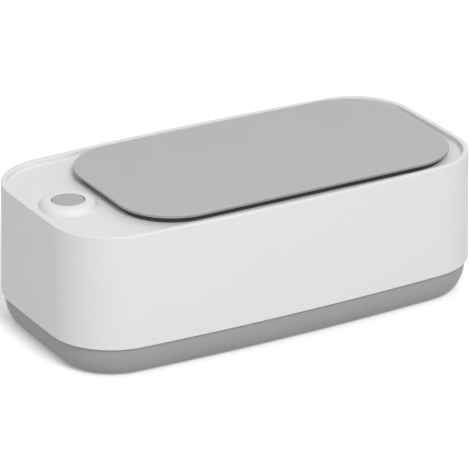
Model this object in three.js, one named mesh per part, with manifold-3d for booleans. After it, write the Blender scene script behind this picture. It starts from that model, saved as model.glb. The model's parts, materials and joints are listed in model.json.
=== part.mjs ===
// Portable ultrasonic cleaner for jewelry and glasses: a moulded housing with a drawn steel tank,
// a lift-off lid, one push button, a driver board, a row of dry cells and a sliding battery door.
// Millimetres, +Z up. The origin is on the table under the middle of the body. The button end
// points along -X and the long front side faces -Y.

import * as THREE from "three";
import { mergeVertices } from "three/addons/utils/BufferGeometryUtils.js";
import Module from "manifold-3d";

const wasm = await Module();
wasm.setup();

// Body, seen from above
const bodyLength = 200;
const bodyWidth = 102;
const cornerRadius = 28.6;
const sideBow = 2.2;
const endBow = 0.2;

// Heights of the body above the table
const footProud = 0.6;
const seamHeight = 14.2;
const rimHeight = 63.8;
const deckDrop = 2.7;

// Gaps between pieces, and how far a cut runs past what it cuts
const sideGap = 0.3;
const seatGap = 0.2;
const overrun = 1;

// Walls of the housing
const shellWall = 2.4;
const wallDraft = 1.1;
const deckThickness = 2.4;
const rimRounding = 0.5;
const seamRounding = 0.2;
const deckFillet = 0.8;
const baseInset = 1.3;
const baseCurveWidth = 6.5;
const baseWall = 2.4;
const floorThickness = 2;
const ribThickness = 1.2;
const ribDepth = 5;
const tongueHeight = 2.5;
const tongueRoot = 3;

// Lid
const buttonZone = 33.7;
const lidEndMargin = 8.9;
const lidSideMargin = 8.2;
const lidCornerRadius = 25.5;
const lidProud = 1.4;
const lidPlateThickness = 1.2;
const lidEdgeRounding = 0.35;
const lidPinRadius = 1.3;
const lidPinLength = 0.8;
const linerSetback = 2.3;
const linerSkin = 1.4;
const linerRibDepth = 0.8;
const plugDepth = 5;
const plugWall = 2.4;
const plugGap = 1.2;
const lidSealHeight = 1.8;
const lidSealGroove = 0.8;

// Tank
const flangeCover = 2.9;
const flangeWidth = 3.5;
const tankSheet = 0.6;
const tankDraft = 1.5;
const tankFillet = 8;
const tankSealThickness = 0.5;
const underTankSpace = 3.8;
const transducerPlateRadius = 19;
const transducerPlateThickness = 1.2;
const ceramicRadius = 15;
const ceramicThickness = 2.5;

// Button
const buttonSetback = 19.1;
const collarRadius = 12;
const collarFlare = 0.6;
const collarHeight = 2.8;
const collarEdge = 0.3;
const collarWall = 1.6;
const collarLipDepth = 1.5;
const collarLipReach = 0.7;
const capRadius = 6.8;
const capWall = 1;
const capRecess = 0.3;
const capFlangeReach = 1;
const capFlangeThickness = 1;
const buttonTravel = 1;
const keyBoardClearance = 1;
const stemRadius = 1.6;
const buttonSpringWire = 0.3;

// Key board under the button
const keyBoardLength = 26;
const keyBoardWidth = 36;
const keyBoardThickness = 1.2;
const switchSize = 5.2;
const switchHeight = 3.5;
const plungerRadius = 1.7;
const plungerHeight = 1.2;

// Screws, bosses and feet
const footRadius = 5.5;
const footSunk = 1.4;
const footMargin = 0.5;
const footPad = 1.6;
const screwRadius = 1.2;
const screwHeadRadius = 2.5;
const screwHeadHeight = 1.6;
const screwGrip = 9;
const screwTipGap = 2;
const bossWall = 1.7;

// Cells, contacts and the compartment that holds them
const cellRadius = 5.25;
const cellLength = 44.5;
const cellGap = 0.2;
const nubRadius = 1.9;
const nubLength = 0.8;
const contactThickness = 0.4;
const contactHeight = 7;
const contactSpringLength = 4;
const contactSpringRadius = 3.2;
const contactSpringWire = 0.35;
const tabWidth = 3;
const tabReach = 2;
const compartmentEndMargin = 8.5;

// Battery door and its channel in the underside
const lipThickness = 0.9;
const lipWidth = 1;
const doorFlangeThickness = 1.1;
const doorOverlap = 3;
const gripWidth = 24;
const gripPitch = 2.4;
const gripGroove = 1.1;
const gripDepth = 0.4;

// Driver board and what stands on it
const boardEndMargin = 43;
const boardLength = 46;
const boardWidth = 50;
const boardThickness = 1.6;
const postHeight = 4;
const postRadius = 2.6;
const boardScrewRadius = 1.1;
const boardScrewLength = 6;
const coreLength = 18;
const coreWidth = 15;
const coreHeight = 11;
const coreLeg = 3;
const largeCapacitorRadius = 5;
const largeCapacitorHeight = 12;
const smallCapacitorRadius = 3.2;
const smallCapacitorHeight = 8;
const transistorWidth = 10;
const transistorHeight = 9;
const transistorThickness = 4.4;
const sinkWidth = 14;
const sinkHeight = 11;
const sinkPlate = 1.6;
const finReach = 2.6;
const finThickness = 0.9;
const connectorLength = 6;
const connectorWidth = 8;
const connectorHeight = 5;
const connectorWall = 0.9;
const wireRadius = 0.7;
const wirePitch = 2.4;

// Places along and across a piece, as shares of its size from its middle
const boardScrewShare = 0.43;
const transformerShares = [0.06, 0.18];
const largeCapacitorShares = [-0.3, -0.24];
const smallCapacitorShares = [-0.02, -0.3];
const heatSinkShares = [-0.43, 0.08];
const batteryConnectorShares = [0.36, -0.2];
const transducerConnectorShares = [0.36, 0.2];
const keyConnectorShares = [-0.24, 0.4];
const gussetShares = [-0.36, -0.12, 0.12, 0.36];
const linerRibShares = [-0.3, 0, 0.3];
const lidPinShares = [-0.4, 0.4];
const keyScrewShare = 0.41;

// How finely curves are cut into flats
const cornerSteps = 7;
const sideSteps = 2;
const endSteps = 1;
const lidCornerSteps = 6;
const roundSteps = 2;
const largeCurveSteps = 5;
const discSides = 24;
const canSides = 14;
const pinSides = 8;
const coilSides = 4;
const coilStepsPerTurn = 8;
const buttonSpringTurns = 5;
const contactSpringTurns = 3;
const wireSides = 5;
const wireSteps = 14;
const gripCount = 5;
const finCount = 4;

// Heights worked out from the sizes above
const deckHeight = rimHeight - deckDrop;
const deckUnderside = deckHeight - deckThickness;
const baseTop = seamHeight - sideGap;
const floorTop = footProud + floorThickness;
const lipTop = footProud + lipThickness;
const doorTop = lipTop + seatGap + doorFlangeThickness;
const channelTop = doorTop + sideGap;
const cellAxisHeight = channelTop + seatGap + cellRadius;
const compartmentCeiling = cellAxisHeight + cellRadius + sideGap;
const compartmentTop = compartmentCeiling + ribThickness;
const ceramicBottom = compartmentTop + underTankSpace;
const transducerPlateBottom = ceramicBottom + ceramicThickness + seatGap;
const tankBottom = transducerPlateBottom + transducerPlateThickness + seatGap;
const flangeTop = deckHeight;
const tankSealTop = flangeTop - tankSheet - seatGap;
const flangeSeat = tankSealTop - tankSealThickness - seatGap;
const lidTop = rimHeight + lidProud;
const linerTop = lidTop - lidPlateThickness - seatGap;
const linerBottom = deckHeight + seatGap;
const plugBottom = linerBottom - plugDepth;
const boardBottom = floorTop + postHeight + seatGap;
const partSeat = boardBottom + boardThickness + seatGap;
const collarTop = deckHeight + seatGap + collarHeight;
const collarBottom = deckUnderside - seatGap - collarLipDepth;
const capTop = collarTop - capRecess;
const capBottom = collarBottom - seatGap - capFlangeThickness;
const keyBoardTop = capBottom - buttonTravel - keyBoardClearance;
const keyBoardBottom = keyBoardTop - keyBoardThickness;
const bossMeeting = seamHeight + tongueHeight;
const footSeat = footProud + footSunk;
const screwHeadTop = footSeat + seatGap + screwHeadHeight;
const screwTip = bossMeeting + screwGrip;

// Places and widths worked out from the sizes above
const lidLength = bodyLength - buttonZone - lidEndMargin;
const lidWidth = bodyWidth - 2 * lidSideMargin;
const lidCentre = (buttonZone - lidEndMargin) / 2;
const flangeInset = linerSetback + flangeCover;
const mouthInset = flangeInset + flangeWidth;
const tankInset = mouthInset - tankSheet;
const plugInset = mouthInset + plugGap;
const boreRadius = capRadius + sideGap;
const sleeveRadius = boreRadius + collarWall;
const buttonCentre = buttonSetback - bodyLength / 2;
const bossRadius = screwRadius + sideGap + bossWall;
const footInset = baseInset + baseCurveWidth + footMargin + footRadius;
const cellPitch = 2 * cellRadius + cellGap;

// Finishes: colour, roughness, metalness
const finishes = {
  whiteShell: [0xe2e2e2, 0.5, 0],
  greyLid: [0xb8b8b8, 0.5, 0],
  greyBase: [0x989898, 0.55, 0],
  darkLiner: [0x3c3c3c, 0.7, 0],
  greyButton: [0xb2b2b2, 0.5, 0],
  rubber: [0x4a4a4a, 0.85, 0],
  softSeal: [0xd5d5d0, 0.75, 0],
  tankSteel: [0xc4c6c8, 0.25, 1],
  zincSteel: [0xb0b2b4, 0.35, 1],
  ceramic: [0xd8d0bc, 0.6, 0],
  greenBoard: [0x2f6b45, 0.5, 0],
  blackPlastic: [0x1e1e20, 0.5, 0],
  ivoryPlastic: [0xe8e2d0, 0.5, 0],
  ferrite: [0x34343a, 0.7, 0],
  copper: [0xb87448, 0.35, 1],
  aluminium: [0xc8cacc, 0.4, 1],
  cellJacket: [0x6a7f94, 0.4, 0],
  redWire: [0xa83a34, 0.5, 0],
  blackWire: [0x242426, 0.5, 0],
};

const group = new THREE.Group();

function addPiece(name, solid, finish) {
  const [color, roughness, metalness] = finish;
  const material = new THREE.MeshStandardMaterial({ color, roughness, metalness });
  const mesh = new THREE.Mesh(toGeometry(solid), material);
  mesh.name = name;
  group.add(mesh);
}

// A closed geometry becomes a solid that can be joined and cut
function toSolid(geometry) {
  const bare = new THREE.BufferGeometry();
  bare.setAttribute("position", geometry.getAttribute("position"));
  bare.setIndex(geometry.getIndex());
  const merged = mergeVertices(bare);
  const vertProperties = new Float32Array(merged.getAttribute("position").array);
  const triVerts = new Uint32Array(merged.getIndex().array);
  return new wasm.Manifold(new wasm.Mesh({ numProp: 3, vertProperties, triVerts }));
}

function toGeometry(solid) {
  const { vertProperties, triVerts } = solid.getMesh();
  const shared = new THREE.BufferGeometry();
  shared.setAttribute("position", new THREE.BufferAttribute(vertProperties, 3));
  shared.setIndex(new THREE.BufferAttribute(triVerts, 1));
  const geometry = shared.toNonIndexed();
  geometry.computeVertexNormals();
  return geometry;
}

function joinAll(solids) {
  return solids.reduce((whole, next) => whole.add(next));
}

// Points on an arc, both ends included
function arcPoints(centre, radius, from, to, steps) {
  const points = [];
  for (let step = 0; step <= steps; step++) {
    const angle = from + (to - from) * (step / steps);
    points.push(new THREE.Vector2(
      centre.x + radius * Math.cos(angle),
      centre.y + radius * Math.sin(angle),
    ));
  }
  return points;
}

// The crossing of two circles that lies furthest towards +X +Y
function circleCrossing(first, firstRadius, second, secondRadius) {
  const between = second.clone().sub(first);
  const distance = between.length();
  const along = (firstRadius ** 2 - secondRadius ** 2 + distance ** 2) / (2 * distance);
  const across = Math.sqrt(firstRadius ** 2 - along ** 2);
  const direction = between.divideScalar(distance);
  const foot = first.clone().addScaledVector(direction, along);
  const normal = new THREE.Vector2(-direction.y, direction.x);
  const left = foot.clone().addScaledVector(normal, across);
  const right = foot.clone().addScaledVector(normal, -across);
  return left.x + left.y > right.x + right.y ? left : right;
}

// Sides and ends of the body are shallow arcs that run tangent into the corner arcs
function bowArc(halfSpan, halfOther, bow) {
  const chord = halfSpan - cornerRadius;
  const radius = (chord ** 2 + bow ** 2) / (2 * bow);
  return { radius, offset: halfOther - radius };
}

const sideArc = bowArc(bodyLength / 2, bodyWidth / 2, sideBow);
const endArc = bowArc(bodyWidth / 2, bodyLength / 2, endBow);
const sideArcCentre = new THREE.Vector2(0, sideArc.offset);
const endArcCentre = new THREE.Vector2(endArc.offset, 0);
const cornerCentre = circleCrossing(
  sideArcCentre, sideArc.radius - cornerRadius,
  endArcCentre, endArc.radius - cornerRadius,
);

// The body's outline moved inwards, anticlockwise from the +X end
function bodyOutline(inset) {
  const endTurn = cornerCentre.clone().sub(endArcCentre).angle();
  const sideTurn = cornerCentre.clone().sub(sideArcCentre).angle();
  const quarter = [
    ...arcPoints(endArcCentre, endArc.radius - inset, 0, endTurn, endSteps),
    ...arcPoints(cornerCentre, cornerRadius - inset, endTurn, sideTurn, cornerSteps).slice(1),
    ...arcPoints(sideArcCentre, sideArc.radius - inset, sideTurn, Math.PI / 2, sideSteps).slice(1),
  ];
  const mirror = (points, x, y) => points.map((point) => new THREE.Vector2(point.x * x, point.y * y));
  const backwards = quarter.slice(1).reverse();
  return [
    ...quarter.slice(0, -1),
    ...mirror(backwards, -1, 1),
    ...mirror(quarter.slice(0, -1), -1, -1),
    ...mirror(backwards, 1, -1),
  ];
}

// The lid's outline moved inwards: lid, liner, plug, seals and tank all follow it
function lidOutline(inset) {
  const radius = lidCornerRadius - inset;
  const x = lidLength / 2 - lidCornerRadius;
  const y = lidWidth / 2 - lidCornerRadius;
  const corners = [[x, y], [-x, y], [-x, -y], [x, -y]];
  return corners.flatMap(([cornerX, cornerY], index) => {
    const centre = new THREE.Vector2(lidCentre + cornerX, cornerY);
    const from = index * Math.PI / 2;
    return arcPoints(centre, radius, from, from + Math.PI / 2, lidCornerSteps);
  });
}

// A solid through outlines of equal point count, stacked upwards as [outline, height]
function loft(rings) {
  const count = rings[0][0].length;
  const positions = rings.flatMap(([outline, height]) => (
    outline.flatMap((point) => [point.x, point.y, height])
  ));
  const indices = [];
  for (let ring = 0; ring < rings.length - 1; ring++) {
    for (let point = 0; point < count; point++) {
      const low = ring * count + point;
      const lowNext = ring * count + (point + 1) % count;
      indices.push(low, lowNext, lowNext + count, low, lowNext + count, low + count);
    }
  }
  const last = (rings.length - 1) * count;
  for (const [a, b, c] of THREE.ShapeUtils.triangulateShape(rings[0][0], [])) {
    indices.push(a, c, b);
  }
  for (const [a, b, c] of THREE.ShapeUtils.triangulateShape(rings[rings.length - 1][0], [])) {
    indices.push(last + a, last + b, last + c);
  }
  const geometry = new THREE.BufferGeometry();
  geometry.setAttribute("position", new THREE.Float32BufferAttribute(positions, 3));
  geometry.setIndex(indices);
  return toSolid(geometry);
}

// Loft steps for an edge that turns in towards the top, as [outline, height]
function crown(outlineAt, inset, width, base, height) {
  return curveSteps(roundSteps).map((angle) => [
    outlineAt(inset + width * (1 - Math.cos(angle))),
    base + height * Math.sin(angle),
  ]);
}

// Loft steps for an edge that turns in towards the bottom, as [outline, height]
function heel(outlineAt, inset, width, base, height, steps) {
  return curveSteps(steps).map((angle) => [
    outlineAt(inset + width * (1 - Math.sin(angle))),
    base + height * (1 - Math.cos(angle)),
  ]);
}

// An upright wall that follows an outline between two insets
function ringWall(outlineAt, outerInset, innerInset, zs) {
  const outside = loft(zs.map((height) => [outlineAt(outerInset), height]));
  return outside.subtract(loft([
    [outlineAt(innerInset), zs[0] - overrun],
    [outlineAt(innerInset), zs[1] + overrun],
  ]));
}

function curveSteps(steps) {
  return Array.from({ length: steps + 1 }, (_, step) => (step / steps) * Math.PI / 2);
}

function block(xs, ys, zs) {
  const geometry = new THREE.BoxGeometry(xs[1] - xs[0], ys[1] - ys[0], zs[1] - zs[0]);
  geometry.translate((xs[0] + xs[1]) / 2, (ys[0] + ys[1]) / 2, (zs[0] + zs[1]) / 2);
  return toSolid(geometry);
}

// A block given by the middle and size of its footprint
function blockAt(x, y, length, width, zs) {
  return block([x - length / 2, x + length / 2], [y - width / 2, y + width / 2], zs);
}

// A profile of [radius, height] points turned about a vertical axis
function turned(profile, x, y, sides) {
  const points = profile.map(([radius, height]) => new THREE.Vector2(radius, height));
  const geometry = new THREE.LatheGeometry(points, sides);
  geometry.rotateX(Math.PI / 2);
  geometry.translate(x, y, 0);
  return toSolid(geometry);
}

function rod(x, y, radius, zs, sides) {
  return turned([[0, zs[0]], [radius, zs[0]], [radius, zs[1]], [0, zs[1]]], x, y, sides);
}

class Helix extends THREE.Curve {
  constructor(radius, from, to, turns) {
    super();
    Object.assign(this, { radius, from, to, turns });
  }

  getPoint(share, target = new THREE.Vector3()) {
    const angle = 2 * Math.PI * this.turns * share;
    const height = this.from + (this.to - this.from) * share;
    return target.set(this.radius * Math.cos(angle), this.radius * Math.sin(angle), height);
  }
}

function tubeAlong(curve, radius, sides, steps) {
  const section = new THREE.Shape();
  for (let side = 0; side < sides; side++) {
    const angle = 2 * Math.PI * side / sides;
    const [x, y] = [radius * Math.cos(angle), radius * Math.sin(angle)];
    if (side === 0) {
      section.moveTo(x, y);
    } else {
      section.lineTo(x, y);
    }
  }
  return new THREE.ExtrudeGeometry(section, { steps, extrudePath: curve });
}

// A coil spring along +Z from zero, with its whole wire inside the given length
function coil(radius, wire, length, turns) {
  const helix = new Helix(radius, wire, length - wire, turns);
  return tubeAlong(helix, wire, coilSides, turns * coilStepsPerTurn);
}

// The four corners of the housing, where a foot hides a screw between the two mouldings
const cornerDirection = new THREE.Vector2(1, 1).normalize();
const bossCentre = cornerCentre.clone().addScaledVector(cornerDirection, cornerRadius - footInset);
const housingCorners = [
  { name: "front_left", x: -bossCentre.x, y: -bossCentre.y },
  { name: "front_right", x: bossCentre.x, y: -bossCentre.y },
  { name: "back_left", x: -bossCentre.x, y: bossCentre.y },
  { name: "back_right", x: bossCentre.x, y: bossCentre.y },
];

// The compartment: an even number of cells lies side by side, as many as fit between the feet
const footEdge = bossCentre.y - footRadius - 2 * sideGap - lipWidth - ribThickness;
const cellCount = 2 * Math.floor(footEdge / cellPitch);
const cellSpace = cellCount * cellPitch + cellGap;
const compartmentLength = cellLength + contactSpringLength + 2 * contactThickness + 6 * seatGap;
const compartmentRight = bodyLength / 2 - compartmentEndMargin - ribThickness;
const compartmentLeft = compartmentRight - compartmentLength;
const channelHalf = cellSpace / 2 + lipWidth;
const doorLeft = compartmentLeft - doorOverlap;

// The driver board and its posts
const boardLeft = -bodyLength / 2 + boardEndMargin;
const boardCentre = boardLeft + boardLength / 2;
const boardScrews = [];
for (const x of [-1, 1]) {
  for (const y of [-1, 1]) {
    boardScrews.push([
      boardCentre + x * boardScrewShare * boardLength,
      y * boardScrewShare * boardWidth,
    ]);
  }
}
const keyScrews = [-keyScrewShare * keyBoardWidth, keyScrewShare * keyBoardWidth];

function onBoard([lengthShare, widthShare]) {
  return [boardCentre + lengthShare * boardLength, widthShare * boardWidth];
}

function makeOuterShell() {
  const skin = loft([
    ...heel(bodyOutline, 0, seamRounding, seamHeight, seamRounding, roundSteps),
    ...crown(bodyOutline, wallDraft, rimRounding, rimHeight - rimRounding, rimRounding),
  ]);
  const recessInset = wallDraft + shellWall;
  const innerEdge = curveSteps(roundSteps).map((angle) => [
    bodyOutline(recessInset - rimRounding * (1 - Math.cos(angle))),
    rimHeight - rimRounding * (1 - Math.sin(angle)),
  ]);
  const recess = loft([
    ...heel(bodyOutline, recessInset, deckFillet, deckHeight, deckFillet, roundSteps),
    ...innerEdge,
    [bodyOutline(recessInset - rimRounding), rimHeight + overrun],
  ]);
  const cavityDraft = wallDraft * (deckUnderside - seamHeight) / (rimHeight - seamHeight);
  const cavity = loft([
    [bodyOutline(shellWall), seamHeight - overrun],
    [bodyOutline(shellWall), seamHeight],
    [bodyOutline(shellWall + cavityDraft), deckUnderside],
  ]);
  const tankHole = loft([
    [lidOutline(tankInset - sideGap), seamHeight],
    [lidOutline(tankInset - sideGap), rimHeight],
  ]);
  const flangeRebate = loft([
    [lidOutline(flangeInset - sideGap), flangeSeat],
    [lidOutline(flangeInset - sideGap), rimHeight],
  ]);
  const ribZs = [deckUnderside - ribDepth, deckUnderside + deckThickness / 2];
  const tankRib = loft(ribZs.map((height) => [lidOutline(tankInset - sideGap - ribThickness), height]));
  const gussets = gussetShares.map((share) => blockAt(
    lidCentre + share * lidLength, 0, ribThickness, bodyWidth - shellWall, ribZs,
  ));
  const bosses = housingCorners.map(({ x, y }) => (
    rod(x, y, bossRadius, [bossMeeting, ribZs[1]], pinSides)
  ));
  const keyBosses = keyScrews.map((y) => (
    rod(buttonCentre, y, postRadius, [keyBoardTop + seatGap, ribZs[1]], pinSides)
  ));
  const pilots = housingCorners.map(({ x, y }) => rod(
    x, y, screwRadius + sideGap, [bossMeeting - overrun, screwTip + screwTipGap], pinSides,
  ));
  const keyPilots = keyScrews.map((y) => rod(
    buttonCentre, y, boardScrewRadius + sideGap,
    [keyBoardTop - overrun, deckHeight - deckThickness / 2], pinSides,
  ));
  const collarHole = rod(
    buttonCentre, 0, sleeveRadius + sideGap, [deckUnderside - overrun, rimHeight], discSides,
  );
  const housing = skin.subtract(recess).subtract(cavity);
  const inside = joinAll([tankRib, ...gussets, ...bosses, ...keyBosses]).intersect(skin);
  const cuts = joinAll([tankHole, flangeRebate, ...pilots, ...keyPilots, collarHole]);
  return housing.add(inside).subtract(cuts);
}

// The outside of the base, also used to trim the battery door to the same curve
function makeBaseForm() {
  return loft(heel(
    bodyOutline, baseInset, baseCurveWidth, footProud, baseTop - footProud, largeCurveSteps,
  ));
}

function makeBasePan() {
  const form = makeBaseForm();
  const innerInset = baseInset + baseWall;
  const hollow = loft([
    ...heel(bodyOutline, innerInset, baseCurveWidth, floorTop, baseTop - floorTop, largeCurveSteps),
    [bodyOutline(innerInset), baseTop + overrun],
  ]);
  const tongueInset = shellWall + sideGap;
  const tongueZs = [baseTop - tongueRoot, seamHeight + tongueHeight];
  const tongue = ringWall(bodyOutline, tongueInset, tongueInset + ribThickness, tongueZs);
  const standing = joinAll([
    ...housingCorners.flatMap(({ x, y }) => [
      rod(x, y, footRadius + sideGap + ribThickness, [footProud, floorTop + footPad], discSides),
      rod(x, y, bossRadius, [footProud, bossMeeting - sideGap], pinSides),
    ]),
    ...boardScrews.map(([x, y]) => (
      rod(x, y, postRadius, [footProud, floorTop + postHeight], pinSides)
    )),
    makeCompartment(),
    tongue,
  ]);
  const insideShell = loft([
    [bodyOutline(tongueInset), tongueZs[0]],
    [bodyOutline(tongueInset), rimHeight],
  ]);
  const cuts = joinAll([
    ...housingCorners.flatMap(makeFootCuts),
    ...boardScrews.map(([x, y]) => rod(
      x, y, boardScrewRadius + sideGap,
      [floorTop, floorTop + postHeight + overrun], pinSides,
    )),
    makeDoorChannel(),
  ]);
  return form.subtract(hollow).add(standing.intersect(form.add(insideShell))).subtract(cuts);
}

function makeFootCuts({ x, y }) {
  const headSpace = screwHeadTop + seatGap;
  return [
    rod(x, y, footRadius + sideGap, [footProud - overrun, footSeat], discSides),
    rod(x, y, screwHeadRadius + sideGap, [footProud - overrun, headSpace], pinSides),
    rod(x, y, screwRadius + sideGap, [footProud, bossMeeting + overrun], pinSides),
  ];
}

function makeCompartment() {
  const half = cellSpace / 2 + ribThickness;
  const outerXs = [compartmentLeft - ribThickness, compartmentRight + ribThickness];
  const box = block(outerXs, [-half, half], [footProud, compartmentTop]);
  const padHalf = channelHalf + sideGap + ribThickness;
  const pad = block(
    [doorLeft - sideGap - ribThickness, bodyLength / 2], [-padHalf, padHalf],
    [footProud, channelTop + ribThickness],
  );
  return box.add(pad);
}

// The channel runs out of the +X end: a lower slot between two lips and a wider groove above
function makeDoorChannel() {
  const xs = [doorLeft - sideGap, bodyLength / 2 + overrun];
  const slotHalf = channelHalf - lipWidth;
  const grooveHalf = channelHalf + sideGap;
  const slot = block(xs, [-slotHalf, slotHalf], [footProud - overrun, channelTop]);
  const groove = block(xs, [-grooveHalf, grooveHalf], [lipTop, channelTop]);
  const cells = block(
    [compartmentLeft, compartmentRight], [-cellSpace / 2, cellSpace / 2],
    [footProud, compartmentCeiling],
  );
  const slots = terminalYs().map((y) => blockAt(
    compartmentLeft, y, 2 * (ribThickness + overrun), tabWidth + 2 * sideGap,
    [cellAxisHeight - contactThickness / 2 - sideGap, cellAxisHeight + contactThickness / 2 + sideGap],
  ));
  return joinAll([slot, groove, cells, ...slots]);
}

function makeBatteryDoor() {
  const xs = [doorLeft, bodyLength / 2];
  const plateHalf = channelHalf - lipWidth - sideGap;
  const plate = block(xs, [-plateHalf, plateHalf], [footProud, doorTop]);
  const flange = block(xs, [-channelHalf, channelHalf], [lipTop + seatGap, doorTop]);
  const gripStart = compartmentRight - gripCount * gripPitch;
  const grips = Array.from({ length: gripCount }, (_, index) => blockAt(
    gripStart + index * gripPitch, 0, gripGroove, gripWidth,
    [footProud - overrun, footProud + gripDepth],
  ));
  return plate.add(flange).intersect(makeBaseForm()).subtract(joinAll(grips));
}

function makeTank() {
  const outer = loft([
    ...heel(lidOutline, tankInset + tankDraft, tankFillet, tankBottom, tankFillet, largeCurveSteps),
    [lidOutline(tankInset), flangeTop],
  ]);
  const innerFillet = tankFillet - tankSheet;
  const inner = loft([
    ...heel(
      lidOutline, mouthInset + tankDraft, innerFillet, tankBottom + tankSheet, innerFillet,
      largeCurveSteps,
    ),
    [lidOutline(mouthInset), flangeTop],
    [lidOutline(mouthInset), flangeTop + overrun],
  ]);
  const flange = loft([
    [lidOutline(flangeInset), flangeTop - tankSheet],
    [lidOutline(flangeInset), flangeTop],
  ]);
  return outer.add(flange).subtract(inner);
}

function makeTankSeal() {
  const zs = [tankSealTop - tankSealThickness, tankSealTop];
  return ringWall(lidOutline, flangeInset, tankInset - sideGap, zs);
}

function lidPins(radius, zs) {
  return lidPinShares.flatMap((lengthShare) => lidPinShares.map((widthShare) => rod(
    lidCentre + lengthShare * (lidLength - 2 * plugInset),
    widthShare * (lidWidth - 2 * plugInset), radius, zs, pinSides,
  )));
}

function makeLidPlate() {
  const underside = lidTop - lidPlateThickness;
  const plate = loft([
    [lidOutline(0), underside],
    ...crown(lidOutline, 0, lidEdgeRounding, lidTop - lidEdgeRounding, lidEdgeRounding),
  ]);
  const pinBottom = underside - seatGap - lidPinLength;
  return joinAll([plate, ...lidPins(lidPinRadius, [pinBottom, underside + lidPlateThickness / 2])]);
}

// A flat band that sits on the deck, with a plug wall that reaches down into the tank
function makeLidLiner() {
  const band = loft([
    [lidOutline(linerSetback), linerBottom],
    [lidOutline(linerSetback), linerTop],
  ]);
  const plug = loft([
    [lidOutline(plugInset), plugBottom],
    [lidOutline(plugInset), linerTop],
  ]);
  const hollow = loft([
    [lidOutline(plugInset + plugWall), plugBottom - overrun],
    [lidOutline(plugInset + plugWall), linerTop - linerSkin],
  ]);
  const sealMiddle = (plugBottom + linerBottom) / 2;
  const grooveHalf = lidSealHeight / 2 + seatGap;
  const grooveZs = [sealMiddle - grooveHalf, sealMiddle + grooveHalf];
  const groove = ringWall(lidOutline, mouthInset, plugInset + lidSealGroove, grooveZs);
  const ribs = linerRibShares.map((share) => blockAt(
    lidCentre + share * lidLength, 0, ribThickness, lidWidth - 2 * plugInset - plugWall,
    [linerTop - linerSkin - linerRibDepth, linerTop - linerSkin / 2],
  ));
  const pinHoles = lidPins(
    lidPinRadius + sideGap, [linerTop - lidPinLength - sideGap, linerTop + overrun],
  );
  return band.add(plug).subtract(hollow).add(joinAll(ribs))
    .subtract(joinAll([groove, ...pinHoles]));
}

function makeLidSeal() {
  const middle = (plugBottom + linerBottom) / 2;
  const zs = [middle - lidSealHeight / 2, middle + lidSealHeight / 2];
  const innerInset = plugInset + lidSealGroove - seatGap;
  return ringWall(lidOutline, mouthInset + sideGap, innerInset, zs);
}

// A low dome that flares out on to the deck, with a bore for the cap and a sleeve that clips under it
function makeButtonCollar() {
  const seat = deckHeight + seatGap;
  const crest = boreRadius + (collarRadius - boreRadius) / 3;
  const domeBase = seat + collarFlare / 2;
  const flare = [
    [collarRadius + collarFlare, seat],
    [collarRadius + collarFlare, seat + collarFlare / 4],
    [collarRadius + collarFlare / 4, domeBase],
  ];
  const dome = curveSteps(largeCurveSteps).slice(1).map((angle) => [
    crest + (collarRadius - crest) * Math.cos(angle),
    domeBase + (collarTop - domeBase) * Math.sin(angle),
  ]);
  const inside = [
    [boreRadius + collarEdge, collarTop],
    [boreRadius, collarTop - collarEdge],
  ];
  const lipTopHeight = deckUnderside - seatGap;
  return turned([
    [boreRadius, collarBottom],
    [sleeveRadius + collarLipReach - collarLipDepth / 3, collarBottom],
    [sleeveRadius + collarLipReach, lipTopHeight - collarLipDepth / 3],
    [sleeveRadius + collarLipReach, lipTopHeight],
    [sleeveRadius, lipTopHeight],
    [sleeveRadius, seat],
    ...flare,
    ...dome,
    ...inside,
    [boreRadius, collarBottom],
  ], buttonCentre, 0, discSides);
}

function makeButtonCap() {
  const roof = capTop - capWall;
  const edge = capWall / 4;
  const stemBottom = keyBoardTop + seatGap + switchHeight + plungerHeight + buttonTravel + sideGap;
  return turned([
    [0, stemBottom],
    [stemRadius, stemBottom],
    [stemRadius, roof],
    [capRadius - capWall, roof],
    [capRadius - capWall, capBottom],
    [capRadius + capFlangeReach, capBottom],
    [capRadius + capFlangeReach, capBottom + capFlangeThickness],
    [capRadius, capBottom + capFlangeThickness],
    [capRadius, capTop - edge],
    [capRadius - edge, capTop],
    [0, capTop],
  ], buttonCentre, 0, discSides);
}

function makeButtonSpring() {
  const length = capTop - capWall - keyBoardTop - 2 * seatGap;
  const radius = capRadius - capWall - sideGap - 2 * buttonSpringWire;
  const geometry = coil(radius, buttonSpringWire, length, buttonSpringTurns);
  geometry.translate(buttonCentre, 0, keyBoardTop + seatGap);
  return toSolid(geometry);
}

function makeKeyBoard() {
  const board = blockAt(
    buttonCentre, 0, keyBoardLength, keyBoardWidth, [keyBoardBottom, keyBoardTop],
  );
  return board.subtract(joinAll(keyScrews.map((y) => rod(
    buttonCentre, y, boardScrewRadius + sideGap,
    [keyBoardBottom - overrun, keyBoardTop + overrun], pinSides,
  ))));
}

function makeTactSwitch() {
  const bottom = keyBoardTop + seatGap;
  const top = bottom + switchHeight;
  const body = blockAt(buttonCentre, 0, switchSize, switchSize, [bottom, top]);
  return body.add(rod(
    buttonCentre, 0, plungerRadius, [bottom + switchHeight / 2, top + plungerHeight], pinSides,
  ));
}

// A pan-head screw that points up, or down when turned over
function makeScrew(x, y, radius, headRadius, seat, tip) {
  const direction = Math.sign(tip - seat);
  const headEnd = seat - direction * screwHeadHeight;
  const profile = [
    [0, headEnd],
    [headRadius * 3 / 4, headEnd],
    [headRadius, headEnd + direction * screwHeadHeight / 2],
    [headRadius, seat],
    [radius, seat],
    [radius, tip - direction * radius],
    [0, tip],
  ];
  return turned(direction > 0 ? profile : profile.reverse(), x, y, pinSides);
}

function makeFoot({ x, y }) {
  return turned([
    [0, 0],
    [footRadius - footProud, 0],
    [footRadius, footProud],
    [footRadius, footSeat - seatGap],
    [0, footSeat - seatGap],
  ], x, y, discSides);
}

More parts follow.
